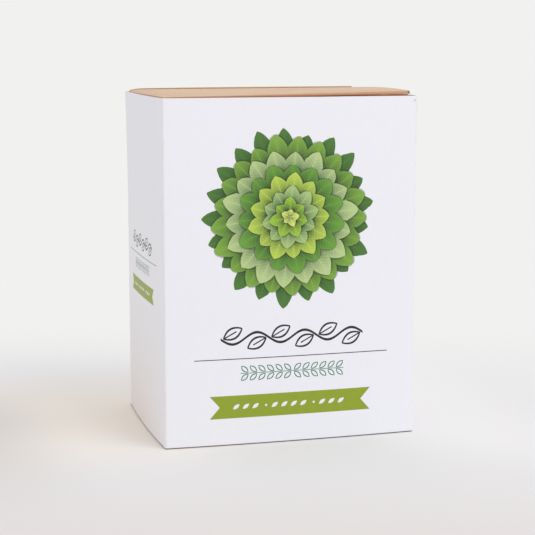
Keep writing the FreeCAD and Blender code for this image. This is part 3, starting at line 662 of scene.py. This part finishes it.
def lay_out(piece, rows, columns, along):
    """Each corner of each quad gets its place in the map: across by its run along the board, up
    by its height, both as shares of its zone."""
    mesh = piece.data
    corner, kind = np.empty(len(mesh.loops), np.int32), np.empty(len(mesh.polygons), np.int32)
    mesh.loops.foreach_get("vertex_index", corner)
    mesh.polygons.foreach_get("material_index", kind)
    side, rest = np.divmod(corner.reshape(-1, 4), rows * columns)
    row, column = np.divmod(rest, columns)
    up, run_share = row / (rows - 1), along[column] / along[-1]
    spots = np.zeros(row.shape + (2,))
    ends = [0, *fold_middles(), columns - 1]
    zones = [(0, *pair) for pair in zip(ends, ends[1:], OUTER_ZONES)]
    zones.append((1, 0, columns - 1, INNER_ZONE))
    for face_kind, first, last, (left, low, right, high) in zones:
        mine = (kind == face_kind) & (column.min(1) >= first) & (column.max(1) <= last)
        share = (along[column[mine]] - along[first]) / (along[last] - along[first])
        spots[mine, :, 0] = left + (right - left) * share
        spots[mine, :, 1] = low + (high - low) * up[mine]
    rims = (
        (row.max(1) == 0, run_share),
        (row.min(1) == rows - 1, run_share),
        (column.max(1) == 0, up),
        (column.min(1) == columns - 1, up),
    )
    for strip, (mine, share) in enumerate(rims):
        mine = mine & (kind == 2)
        spots[mine, :, 0] = RIM_MARGIN + (1 - 2 * RIM_MARGIN) * share[mine]
        spots[mine, :, 1] = RIM_FOOT + RIM_STEP * strip + RIM_WIDTH * side[mine]
    layer = mesh.uv_layers.new(name="OFBake")
    layer.data.foreach_set("uv", spots.reshape(-1).astype(np.float32))
    return spots.reshape(-1, 2)


steps = np.linalg.norm(np.diff(plan, axis=0), axis=1)
spots = lay_out(sleeve, *shape, np.concatenate([[0], np.cumsum(steps)]))
print("print map from", spots.min(0).round(3), "to", spots.max(0).round(3))

# %% [markdown]
# ## Kraft board
# Kraft board is unbleached: long brown fibres lie mostly one way, with dark and pale specks of bark
# and broken fibre among them. Its folds get painted shade, a little darker and warmer where the
# board turns down and where it meets the sleeve.

# %% Kraft finishes
KRAFT_TONES = (196, 162, 133), (227, 199, 171)
KRAFT_EDGE_TONES = (212, 180, 150), (238, 214, 190)
# The stretch of the grain on each axis: a small share draws the fibres out along it
GRAIN_ALONG_X, GRAIN_ALONG_Z = (0.14, 1, 1), (1, 1, 0.14)


def weaker(grain, least):
    """A grain that is drawn out less: a share of 0 becomes the least, and 1 stays 1."""
    return tuple(least + (1 - least) * share for share in grain)


def kraft(name, grain, tones=KRAFT_TONES, crease=None):
    """A kraft finish in two tones. Crease, if given, paints shade on its folds by their place."""
    material, shader = new_finish(name)
    place = millimetres()
    fibres = noise(millimetres(grain), 1.5, 6, 0.66)
    streak = noise(millimetres(weaker(grain, 0.25)), 0.035, 2)
    tone = ease(0.7 * fibres + 0.12 * noise(place, 0.06, 3) + 0.18 * streak, 0.25, 0.75)
    colour = mix(tone, linear(*tones[0]), linear(*tones[1]))
    bark = ease(noise(millimetres(weaker(grain, 0.4)), 3.1, 2), 0.69, 0.75)
    pale = ease(noise(millimetres(weaker(grain[::-1], 0.3)), 2.3, 2), 0.7, 0.77)
    colour = mix(0.45 * bark, colour, linear(120, 82, 54))
    colour = mix(0.35 * pale, colour, linear(240, 222, 198))
    if crease is not None:
        colour = crease(coordinates(place), colour)
    feed(shader, "Base Color", colour)
    feed(shader, "Roughness", 0.8 + 0.12 * fibres)
    feed(shader, "Normal", bump(fibres + 0.4 * bark, 0.05, 0.6))
    return material


# %% Painted shade at the creases
# Heights, depths and places along the front fold and the bead, in millimetres
ORANGE_START, ORANGE_FADE = 159.2, (-42.4, -41.3)
DARK_START, DARK_FADE, DARK_TOP, DARK_RISE = 159.4, (-42.2, -41.8), 160.55, 0.3
TUCK_END, TUCK_BACK = 56.1, -41.0
BEAD_EDGE, BEAD_FAINT = (43.0, 43.4), (-58.5, -50.0)


def front_fold_painted_shade(spot, colour):
    """Painted shade: orange brown down the fold, dark red brown in the shaded gap at the
    sleeve's edge, and dark olive at the shaded right end.
    """
    x, y, z = spot
    fold = (z > ORANGE_START) * fall(y, *ORANGE_FADE)
    above = z - (DARK_TOP + DARK_RISE * ease(x, -40.0, 40.0))
    low = (z > DARK_START) * fall(above, -0.35, 0.15) * fall(y, *DARK_FADE)
    end = (x > TUCK_END) * (y < TUCK_BACK)
    colour = mix(0.6 * fold, colour, linear(184, 116, 70))
    colour = mix(0.65 * low, colour, linear(142, 80, 54))
    return mix(0.8 * end, colour, linear(112, 102, 64))


def lid_painted_shade(spot, colour):
    """Painted shade: ochre along the bead's ridge at the back, faint at its left end, and the
    painted shade of the front fold.
    """
    x, y = spot[:2]
    bead = ease(y, *BEAD_EDGE) * (0.3 + 0.7 * ease(x, *BEAD_FAINT))
    return front_fold_painted_shade(spot, mix(0.7 * bead, colour, linear(172, 132, 82)))


tuck_kraft_and_painted_shade = kraft("tuck_kraft_and_painted_shade", GRAIN_ALONG_X, crease=front_fold_painted_shade)
lid_kraft_and_painted_shade = kraft("lid_kraft_and_painted_shade", (0.12, 1, 1), crease=lid_painted_shade)
carton_kraft = kraft("carton_kraft", GRAIN_ALONG_Z)
flap_kraft = kraft("flap_kraft", GRAIN_ALONG_X)
kraft_edge = kraft("kraft_edge", (0.5, 0.5, 3), KRAFT_EDGE_TONES)
print("kraft finishes:", lid_kraft_and_painted_shade.name, carton_kraft.name, flap_kraft.name, kraft_edge.name)

# %% [markdown]
# ## The lid
# The lid is a bowed panel. It starts at a raised crease bead at the back, rises over a crown and
# turns down in a round fold at the front. Its front edge rises towards the right. Its left end was
# pressed flat when the box was packed, and bulges a little beside the sleeve. Its right end flares
# a little at the back. The section is worked out for many stations from left to right.

# %% Carry the lid's section from left to right
LID_LEFT, LID_SPAN, LID_FRONT = -58.75, 115.8, -42.8
KRAFT_BOARD, BEAD, LID_FOLD, AXIS_Y = 0.55, 0.45, 1.4, 43.95
# How far above the sleeve the crease and the front edge start, and how much the edge rises
CREASE_RISE, FRONT_RISE, FRONT_SLANT = 0.7, 0.35, 1.9
CROWN_AT_END, CROWN_ADDED, CREST_LOWERED = 0.25, 0.65, 0.5
# How far from its ends the lid is pressed flat, sinks at its crest, and is pushed out of line
PRESSED_REACH, SETTLED_REACH, SWELL_REACH = 6.5, 60, 20
LEFT_BULGE, RIGHT_FLARE = 1.5, 0.6
BEAD_POINTS, TOP_POINTS, FOLD_POINTS = 14, 45, 10


def arc(centre_y, centre_z, radius, start, end, count):
    """Points of a circle in the YZ plane. The angle is 0 at the back and 90 degrees at the top."""
    angle = np.radians(np.linspace(start, end, count))
    centre = np.stack([centre_y, centre_z], -1)[:, None, :]
    return centre + radius * np.stack([np.cos(angle), np.sin(angle)], -1)[None]


def bowed(start, end, rise, count):
    """For each station, the line from start to end plus rise times 4t(1 - t)(0.8 + 0.4t), a bow
    that is a little fuller towards its end."""
    share = np.linspace(0, 1, count)[None, :, None]
    line = start[:, None, :] * (1 - share) + end[:, None, :] * share
    line[..., 1] += rise[:, None] * (4 * share * (1 - share) * (0.8 + 0.4 * share))[..., 0]
    return line


def nearness(along, reach):
    """1 at an end and 0 from reach on, by the square of 1 - along / reach."""
    return np.clip(1 - along / reach, 0, 1) ** 2


def lid_lines(along):
    """The lid's upper and lower line at each station: the arc of the bead, a bow and the arc of
    the front fold above, and the same with the board's thickness taken off below."""
    pressed = 1 - nearness(along, PRESSED_REACH)
    settled = pressed * nearness(along, SETTLED_REACH)
    crease_z = SLEEVE_TOP + CREASE_RISE + pressed - BEAD
    crown = CROWN_AT_END + CROWN_ADDED * pressed
    front_z = SLEEVE_TOP + FRONT_RISE + FRONT_SLANT * along / LID_SPAN
    axis = np.full_like(along, AXIS_Y)
    fold_y = np.full_like(along, LID_FRONT + LID_FOLD)

    bead = arc(axis, crease_z, BEAD, -90, 210, BEAD_POINTS)
    crest = np.maximum(bead[..., 1] - crease_z[:, None], 0)
    bead[..., 1] -= CREST_LOWERED * settled[:, None] * crest
    back, front = bead[:, -1], np.stack([fold_y, front_z], -1)
    fold_z = front_z - LID_FOLD
    top = bowed(back, front, crown, TOP_POINTS)[:, 1:]
    fold = arc(fold_y, fold_z, LID_FOLD, 90, 180, FOLD_POINTS)[:, 1:]

    drop = np.array([0, KRAFT_BOARD])
    bead_foot = np.stack([axis, crease_z - BEAD], -1)
    under_bead = bowed(bead_foot, back - drop, crown * 0, BEAD_POINTS)
    under_top = bowed(back - drop, front - drop, crown, TOP_POINTS)[:, 1:]
    under_fold = arc(fold_y, fold_z, LID_FOLD - KRAFT_BOARD, 90, 180, FOLD_POINTS)[:, 1:]
    upper, lower = (bead, top, fold), (under_bead, under_top, under_fold)
    return np.concatenate(upper, 1), np.concatenate(lower, 1)


def lid_face(along, line):
    """A line per station as a grid of points, pushed out to the left by 4t(1 - t) near the left
    end and to the right by t squared near the right end, where t runs from front to back."""
    depth = (line[..., 0] - LID_FRONT) / (AXIS_Y - LID_FRONT)
    near_left, near_right = nearness(along, SWELL_REACH), nearness(LID_SPAN - along, SWELL_REACH)
    bulge = near_left[:, None] * LEFT_BULGE * 4 * depth * np.clip(1 - depth, 0, 1)
    flare = near_right[:, None] * RIGHT_FLARE * np.clip(depth, 0, 1) ** 2
    return np.dstack([LID_LEFT + along[:, None] - bulge + flare, line])


pressed_stations = np.linspace(0, PRESSED_REACH, 16)
along = np.concatenate([pressed_stations, np.linspace(PRESSED_REACH, LID_SPAN, 60)[1:]])
faces = [lid_face(along, line) for line in lid_lines(along)]
lid = board("lid_board", *faces, (lid_kraft_and_painted_shade, flap_kraft, kraft_edge))
dress(lid, "lid", "lid")

# %% [markdown]
# ## The carton's own nodes
# The walls, the locked bottom and the three flaps are flat or simply folded board, so their CAD
# solids are already right. They keep their meshes and only get the kraft finish.

# %% Finish the carton


def finish_nodes(finish, *nodes):
    for node in nodes:
        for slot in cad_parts[node].material_slots:
            slot.material = finish
    print(finish.name, "on", ", ".join(nodes))


finish_nodes(
    carton_kraft, "carton_walls", "bottom_panel_back", "bottom_panel_left", "bottom_panel_right"
)
finish_nodes(flap_kraft, "bottom_panel_front", "dust_flap_left", "dust_flap_right")
finish_nodes(tuck_kraft_and_painted_shade, "tuck_flap")

# %% [markdown]
# ## Fibre pots
# The pots are pressed from wet wood fibre, so their skin is a felt of short fibres with darker bits
# in it. Their form, with its lip, foot ring and drain holes, is right in the CAD model. Only the
# felt is missing, and a finish that lifts and darkens crossed fibres gives it.

# %% Finish the pots
KIT = range(1, 6)

pot_felt, shader = new_finish("pot_felt", Roughness=0.95)
flat_fibres = noise(millimetres((1, 1, 0.2)), 1.1, 4, 0.6)
steep_fibres = noise(millimetres((0.35, 0.35, 1)), 1.3, 4, 0.6)
felt = 0.5 * flat_fibres + 0.5 * steep_fibres
colour = mix(ease(felt, 0.32, 0.68), linear(92, 66, 44), linear(158, 124, 88))
bits = ease(noise(millimetres(), 0.9, 2), 0.62, 0.7)
colour = mix(0.6 * bits, colour, linear(60, 42, 28))
straw = ease(noise(millimetres((0.5, 0.5, 1.4)), 1.7, 2), 0.68, 0.73)
feed(shader, "Base Color", mix(0.5 * straw, colour, linear(196, 168, 122)))
feed(shader, "Normal", bump(felt + 0.5 * bits + 0.4 * straw, 0.35, 0.8))
finish_nodes(pot_felt, *["pot_%d" % number for number in KIT])

# %% [markdown]
# ## Compost discs
# Each disc is dry compost pressed hard. Crumbs break its skin, and its edge is a little ragged. It
# is a surface of revolution, pushed inwards by a relief, so it never grows past the CAD model's
# disc.

# %% The crumbs' finish
compost_crumbs, shader = new_finish("compost_crumbs", Roughness=1.0)
place = millimetres()
crumb, tint = (
    Wire.node("TexVoronoi", None, {"Vector": place, "Scale": 1.1}, out)
    for out in ("Distance", "Color")
)
dust = noise(place, 2.5, 5, 0.7)
colour = mix(0.6 * tint.part(0) + 0.4 * dust, linear(44, 29, 19), linear(104, 76, 52))
straw = ease(noise(millimetres((1, 0.3, 1)), 1.2, 2), 0.68, 0.73)
feed(shader, "Base Color", mix(0.6 * straw, colour, linear(150, 116, 74)))
feed(shader, "Normal", bump((1 - crumb) + 0.6 * dust, 0.4, 0.9))
print("finish of the discs:", compost_crumbs.name)

# %% Turn the discs
DISC_RADIUS, DISC_HEIGHT, DISC_ROUND, DISC_FLAT, DIMPLE_EDGE = 22.0, 9.5, 2.0, 19, 5
DIMPLE = (4.4, 8.4), (3.6, 7.1), (2.4, 7.0), (1.2, 7.0), (0, 7.0)  # radii and heights
CRUMB_DEPTH, COARSE_CRUMBS, FINE_CRUMBS, CRUMB_SHIFT, CRUMB_FADE = 0.3, 5.3, 2.1, 3.1, 3
DISC_SECTORS = 96


def ripple(points, size):
    """A relief from 0 to 1: two products of sines along crossed directions, at a size in mm."""
    x, y, z = (points[..., axis] * (2 * math.pi / size) for axis in range(3))
    first = np.sin(x + 0.7 * y) * np.sin(0.8 * y - 0.5 * x + z)
    second = np.sin(1.9 * x - 1.3 * z + 1) * np.sin(1.7 * y + 0.9 * x + 2)
    return 0.5 + 0.3 * first + 0.2 * second


def disc_profile():
    """Radius and height from the middle of the underside round the edge, which has two quarter
    circles, to the middle of the dimple."""
    turn = np.radians(np.linspace(-90, 0, 7))
    inner = DISC_RADIUS - DISC_ROUND
    low = np.stack([np.cos(turn), np.sin(turn)], 1) * DISC_ROUND + (inner, DISC_ROUND)
    high = np.stack([low[::-1, 0], DISC_HEIGHT - low[::-1, 1]], 1)
    under = np.stack([np.linspace(0, DISC_FLAT, 12), np.zeros(12)], 1)
    wall_height = np.linspace(DISC_ROUND + 1, DISC_HEIGHT - DISC_ROUND - 1, 4)
    wall = np.stack([np.full(4, DISC_RADIUS), wall_height], 1)
    crown = np.stack([np.linspace(DISC_FLAT, DIMPLE_EDGE, 10), np.full(10, DISC_HEIGHT)], 1)
    return np.concatenate([under, low, wall, high, crown, DIMPLE])


def pressed_disc(name, foot, shift):
    """The profile turned about the line up from its foot, pushed inwards by a coarse ripple times
    a fine one. The shift moves both, so that no two discs are alike."""
    angle = np.linspace(0, 2 * math.pi, DISC_SECTORS + 1)
    profile = disc_profile()
    radius, height = profile[:, :1], profile[:, 1:]
    grid = np.dstack([radius * np.cos(angle), radius * np.sin(angle), height + 0 * angle])
    coarse, fine = ripple(grid + shift, COARSE_CRUMBS), ripple(grid - shift, FINE_CRUMBS)
    depth = CRUMB_DEPTH * coarse * fine
    grid[..., :2] *= 1 - depth[..., None] / DISC_RADIUS
    to_middle = height.mean() - grid[..., 2]
    grid[..., 2] += np.sign(to_middle) * depth * np.clip(abs(to_middle) / CRUMB_FADE, 0, 1)
    return add_piece(name, grid + foot, grid_faces(numbered(grid)), (compost_crumbs,), sharp=60)


for number in KIT:
    node = "compost_disc_%d" % number
    disc = pressed_disc("pressed_disc_%d" % number, node_foot(node), CRUMB_SHIFT * number)
    dress(disc, node, "carton")

# %% [markdown]
# ## Seed packets
# A packet is two sheets of paper, sealed along three sides and pillowed by the seeds, with its top
# folded over. It is two grids, whose distance is the paper's thickness at the seams and swells
# between them. Each herb has its own ink: a band, a drawn sprig and a ring, with no words.

# %% Print the packets
PACKET_INKS = (62, 128, 58), (128, 150, 48), (66, 126, 120), (142, 92, 128), (196, 124, 52)
BAND_RISE, BAND_HALF, RING_RISE = 62, 5, 36
OUTER_RING, OUTER_STROKE, INNER_RING, INNER_STROKE = 19, 0.7, 17.6, 0.3
SEAM_START, SEAM_TOP, CRIMP_PERIOD = 27, 4, 1.3
SPRIG_HALF, SPRIG_STROKE, LEAVES_HALF = 12, 0.6, 11
SPRIG_LEAF, LEAF_PLACE, LEAF_RISE, LEAF_SLANT = (4.0, 1.9, 0.5), 4.2, 1.2, 30


def sprig(across, rise, leaves):
    """An upright stem with slanting pairs of leaves up both sides of it."""
    stem = (abs(across) < SPRIG_STROKE / 2) * (abs(rise) < SPRIG_HALF)
    local = fold_over(rise - 1, 2 * SPRIG_HALF / leaves)
    along, aside = turned(abs(across) - LEAF_PLACE, local - LEAF_RISE, LEAF_SLANT)
    pair = leaf_line(along, aside, *SPRIG_LEAF) * (abs(rise) < LEAVES_HALF)
    return either(stem, pair)


def packet_paper(number, ink, foot):
    """A packet's paper with its print on the front, its place measured from the packet's foot."""
    material, shader = new_finish("packet_paper_%d" % number, Roughness=0.7)
    place = millimetres()
    x, y, z = coordinates(place)
    fibres = noise(place, 1.8, 5, 0.65)
    paper = mix(fibres, linear(222, 212, 188), linear(238, 230, 210))
    across, rise = x - foot[0], z - foot[2]
    front = y < foot[1] - 0.1
    band = (abs(rise - BAND_RISE) < BAND_HALF) * front
    reach = distance(across, rise - RING_RISE)
    drawn = either(
        abs(reach - OUTER_RING) < OUTER_STROKE / 2,
        abs(reach - INNER_RING) < INNER_STROKE / 2,
        sprig(across, rise - RING_RISE, number + 2),
    )
    colour = mix(front * drawn, paper, linear(*ink))
    colour = mix(band * (0.9 + 0.1 * fibres), colour, linear(*ink))
    seam = either(abs(across) > SEAM_START, rise < SEAM_TOP)
    crimp = seam * (0.5 + 0.5 * Wire.math("SINE", z * (2 * math.pi / CRIMP_PERIOD)))
    feed(shader, "Base Color", mix(0.12 * crimp, colour, linear(150, 140, 118)))
    feed(shader, "Normal", bump(0.5 * fibres + 0.8 * crimp, 0.12, 0.7))
    return material


# %% Fill the packets
PACKET_HALF, PACKET_HEIGHT, SEAM_HALF, PILLOW, SEED_RELIEF = 31, 90, 0.15, 0.3, 0.18
PILLOW_HALF, PILLOW_FOOT, PILLOW_TOP, PILLOW_SLOPE = 26, 5, 67, 9
FLAP_THICKNESS, FLAP_FOOT, FLAP_SLOPE = 0.2, 72, 0.3
SMALLEST_SEEDS, SEEDS_GROWTH = 3.2, 0.6


def hump(value, low, high, slope):
    """0 outside low and high, 1 between, with smooth slopes: 3s squared minus 2s cubed."""
    up, down = (np.clip(run / slope, 0, 1) for run in (value - low, high - value))
    share = np.minimum(up, down)
    return share * share * (3 - 2 * share)


def packet_grids(foot, number):
    """The front and back of a packet: half the paper, plus a pillow with a faint relief of seeds,
    and the folded top on the front."""
    columns, rows = np.arange(-PACKET_HALF, PACKET_HALF + 1.0), np.arange(PACKET_HEIGHT + 1.0)
    x, z = np.meshgrid(columns, rows)
    pillow = hump(x, -PILLOW_HALF, PILLOW_HALF, PILLOW_SLOPE)
    pillow *= hump(z, PILLOW_FOOT, PILLOW_TOP, PILLOW_SLOPE)
    seeds = ripple(np.dstack([x, 0 * x, z]) + number, SMALLEST_SEEDS + SEEDS_GROWTH * number)
    half = SEAM_HALF + pillow * (PILLOW + SEED_RELIEF * seeds)
    flap = FLAP_THICKNESS * hump(z, FLAP_FOOT, PACKET_HEIGHT + FLAP_THICKNESS, FLAP_SLOPE)
    return np.dstack([x, -half - flap, z]) + foot, np.dstack([x, half, z]) + foot


for number, ink in zip(KIT, PACKET_INKS):
    node = "seed_packet_%d" % number
    foot = node_foot(node)
    paper = packet_paper(number, ink, foot)
    packet = board("filled_packet_%d" % number, *packet_grids(foot, number), (paper,) * 3)
    dress(packet, node, "carton")

# %% [markdown]
# ## Plant markers and the leaflet
# The markers are sawn from pale wood with its grain along them, and the leaflet is one sheet,
# folded to and fro. Both have the right shape in the CAD model. The leaflet's cover has three drawn
# steps of growing, a pot in each ring with a taller plant in it, inside a thin green frame.

# %% Finish the markers
marker_wood, shader = new_finish("pale_wood", Roughness=0.7)
x, y = coordinates(millimetres())[:2]
wander = noise(millimetres((0.3, 0.3, 0.02)), 0.5, 2)
rings = Wire.math("SINE", (x + 5 * wander) * 5.5 + y * 1.6)
pores = ease(noise(millimetres((2.4, 2.4, 0.07)), 1.0, 3), 0.55, 0.75)
colour = mix(0.5 + 0.4 * rings, linear(204, 166, 116), linear(228, 198, 152))
feed(shader, "Base Color", mix(0.4 * pores, colour, linear(150, 108, 68)))
feed(shader, "Normal", bump(0.5 * rings + pores, 0.08, 0.5))
finish_nodes(marker_wood, *["plant_marker_%d" % number for number in KIT])

# %% Finish the leaflet
FRAME_HALF_WIDTH, FRAME_HALF_HEIGHT, FRAME_STROKE = 33, 48.5, 0.009
STEP_PERIOD, STEPS_HALF, STEP_RING, RING_STROKE = 29, 43, 11.5, 0.7
POT_HALF, POT_FLARE, POT_MIDDLE, POT_HALF_HEIGHT = 3.6, 0.22, -4.6, 2.6
STALK_STROKE, STALK_HALF, STALK_GROWTH = 0.7, 1.2, 1.6

leaflet_paper, shader = new_finish("folded_paper", Roughness=0.65)
place = millimetres()
x, y, z = coordinates(place)
fibres = noise(place, 1.6, 4, 0.6)
paper = mix(fibres, linear(233, 232, 226), linear(243, 242, 238))
low, high = node_box("growing_leaflet")
middle = (low + high) / 2
across, rise = x - float(middle[0]), z - float(middle[2])

local = fold_over(rise, STEP_PERIOD)
step = 1 + Wire.math("ROUND", rise / STEP_PERIOD)
ring = abs(distance(across, local) - STEP_RING) < RING_STROKE / 2
pot_side = abs(across) < POT_HALF + POT_FLARE * (local + 4)
pot = pot_side * (abs(local - POT_MIDDLE) < POT_HALF_HEIGHT)
grown = abs(local - 1) < STALK_HALF + STALK_GROWTH * step
stalk = (abs(across) < STALK_STROKE / 2) * grown
along, aside = turned(abs(across) - 2.6, local - 1.5 - step, 25)
leaves = abs(aside) < 1.3 * (1 - along * along / 6)
steps_drawn = either(ring, pot, stalk, leaves) * (abs(rise) < STEPS_HALF)
from_frame = either(abs(across) / FRAME_HALF_WIDTH, abs(rise) / FRAME_HALF_HEIGHT) - 1
drawn = either(steps_drawn, abs(from_frame) < FRAME_STROKE)
cover = y < float(low[1]) + 0.04
feed(shader, "Base Color", mix(cover * drawn, paper, linear(92, 140, 62)))
feed(shader, "Normal", bump(fibres, 0.03, 0.5))
finish_nodes(leaflet_paper, "growing_leaflet")

# %% [markdown]
# ## Light and ground
# The photograph was made in soft daylight, on a pale ground that sweeps up behind the box. A world
# of even light does most of the work, and one large window, high at the front and right, adds the
# rest. The ground is rosy in front. Painted light lightens it at the right of the box, painted
# shade darkens it at the left, and a painted warm light tints it beside the box, where it also
# throws warm light at the sleeve. It fades into the background behind the box and far away, only as
# cameras see it, so the fade adds no light.

# %% Floor
BACKGROUND, WHOLE_FLOOR = linear(241, 241, 240), 12
AWAY_X, AWAY_Y = 0.269, 0.963  # the direction along the ground away from the camera
WARM_MIDDLE = (-80, 28)
FADE_END, HORIZON_START, HORIZON_END = 260.0, 700.0, 2400.0


def seen_rays():
    """1 for rays that the camera sends out, straight or by way of gloss or glass, 0 for light."""
    rays = ("Is Camera Ray", "Is Glossy Ray", "Is Transmission Ray")
    return either(*[Wire.node("LightPath", None, None, name) for name in rays])


floor_finish, shader = new_finish("floor_finish", Roughness=0.9)
x, y = coordinates(millimetres())[:2]
away = AWAY_X * x + AWAY_Y * y
from_warm = distance(x - WARM_MIDDLE[0], y - WARM_MIDDLE[1])
rosy = fall(away, -220.0, -70.0) * ease(away, -600.0, -300.0)
# Painted light: the ground at the right of the box is painted lighter, against the box's shade
# there
painted_light_right = ease(x, 20.0, 85.0) * ease(away, -110.0, -30.0) * (1 - 0.8 * ease(x, 85.0, 150.0))
# Painted shade: the ground at the left of the box is painted darker
painted_shade_left = fall(x, -150.0, -85.0) * ease(away, -200.0, -30.0) * fall(away, -20.0, 80.0)
colour = mix(rosy, linear(229, 227, 226), linear(225, 218, 215))
colour = mix(painted_light_right, colour, linear(237, 235, 233))
# Painted warm light in the shade beside the box's left foot
colour = mix(ease(from_warm, 15.0, 125.0), linear(244, 236, 224), colour)
colour = mix(painted_shade_left, colour, linear(214, 209, 203))
bounced = mix(ease(from_warm, 10.0, 100.0), linear(226, 190, 150), colour)
feed(shader, "Base Color", mix(seen_rays(), bounced, colour))
glow = Wire.node("Emission", None, {"Color": BACKGROUND, "Strength": 1.0})
horizon = ease(distance(x, y), HORIZON_START, HORIZON_END)
fade = either(ease(away, 0.0, FADE_END), horizon) * seen_rays()
blend = Wire.node("MixShader", None, {0: fade, 1: Wire(shader.outputs[0]), 2: glow})
feed(Wire.tree.nodes["Material Output"], "Surface", blend)

bpy.ops.mesh.primitive_plane_add(size=WHOLE_FLOOR, location=(0, 0, 0))
floor = bpy.context.object
floor.name = "floor"
floor.data.materials.append(floor_finish)
floor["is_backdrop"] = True
print("floor of %d m" % WHOLE_FLOOR)

# %% World and window
WINDOW_PLACE, WINDOW_TARGET = Vector((1.2, -1.6, 2.4)), Vector((0, 0, 0.08))
WINDOW_SIZE, WINDOW_POWER = 1.8, 27  # metres and watts

scene = bpy.context.scene
scene.world = bpy.data.worlds.new("world")
scene.world.use_nodes = True
Wire.tree = scene.world.node_tree
sky = Wire.tree.nodes["Background"]
feed(sky, "Color", mix(seen_rays(), linear(237, 237, 240), BACKGROUND))
feed(sky, "Strength", 1.0)

light = bpy.data.lights.new("window_right", "AREA")
light.shape = "RECTANGLE"
light.size = light.size_y = WINDOW_SIZE
light.energy, light.color = WINDOW_POWER, (0.97, 0.98, 1.0)
window = bpy.data.objects.new("window_right", light)
scene.collection.objects.link(window)
window.location = WINDOW_PLACE
window.rotation_euler = (WINDOW_TARGET - WINDOW_PLACE).to_track_quat("-Z", "Y").to_euler()
scene.view_settings.view_transform = "Standard"
print("window of %.1f m and %d W" % (WINDOW_SIZE, light.energy))

# %% [markdown]
# ## The sizes
# The boxes of the CAD model and of the dressed object are both printed. The dressed object has
# to stay inside the box of the CAD model.

# %% Print the sizes
visual_box = [list(corner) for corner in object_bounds()]
print_box("visual box", visual_box)
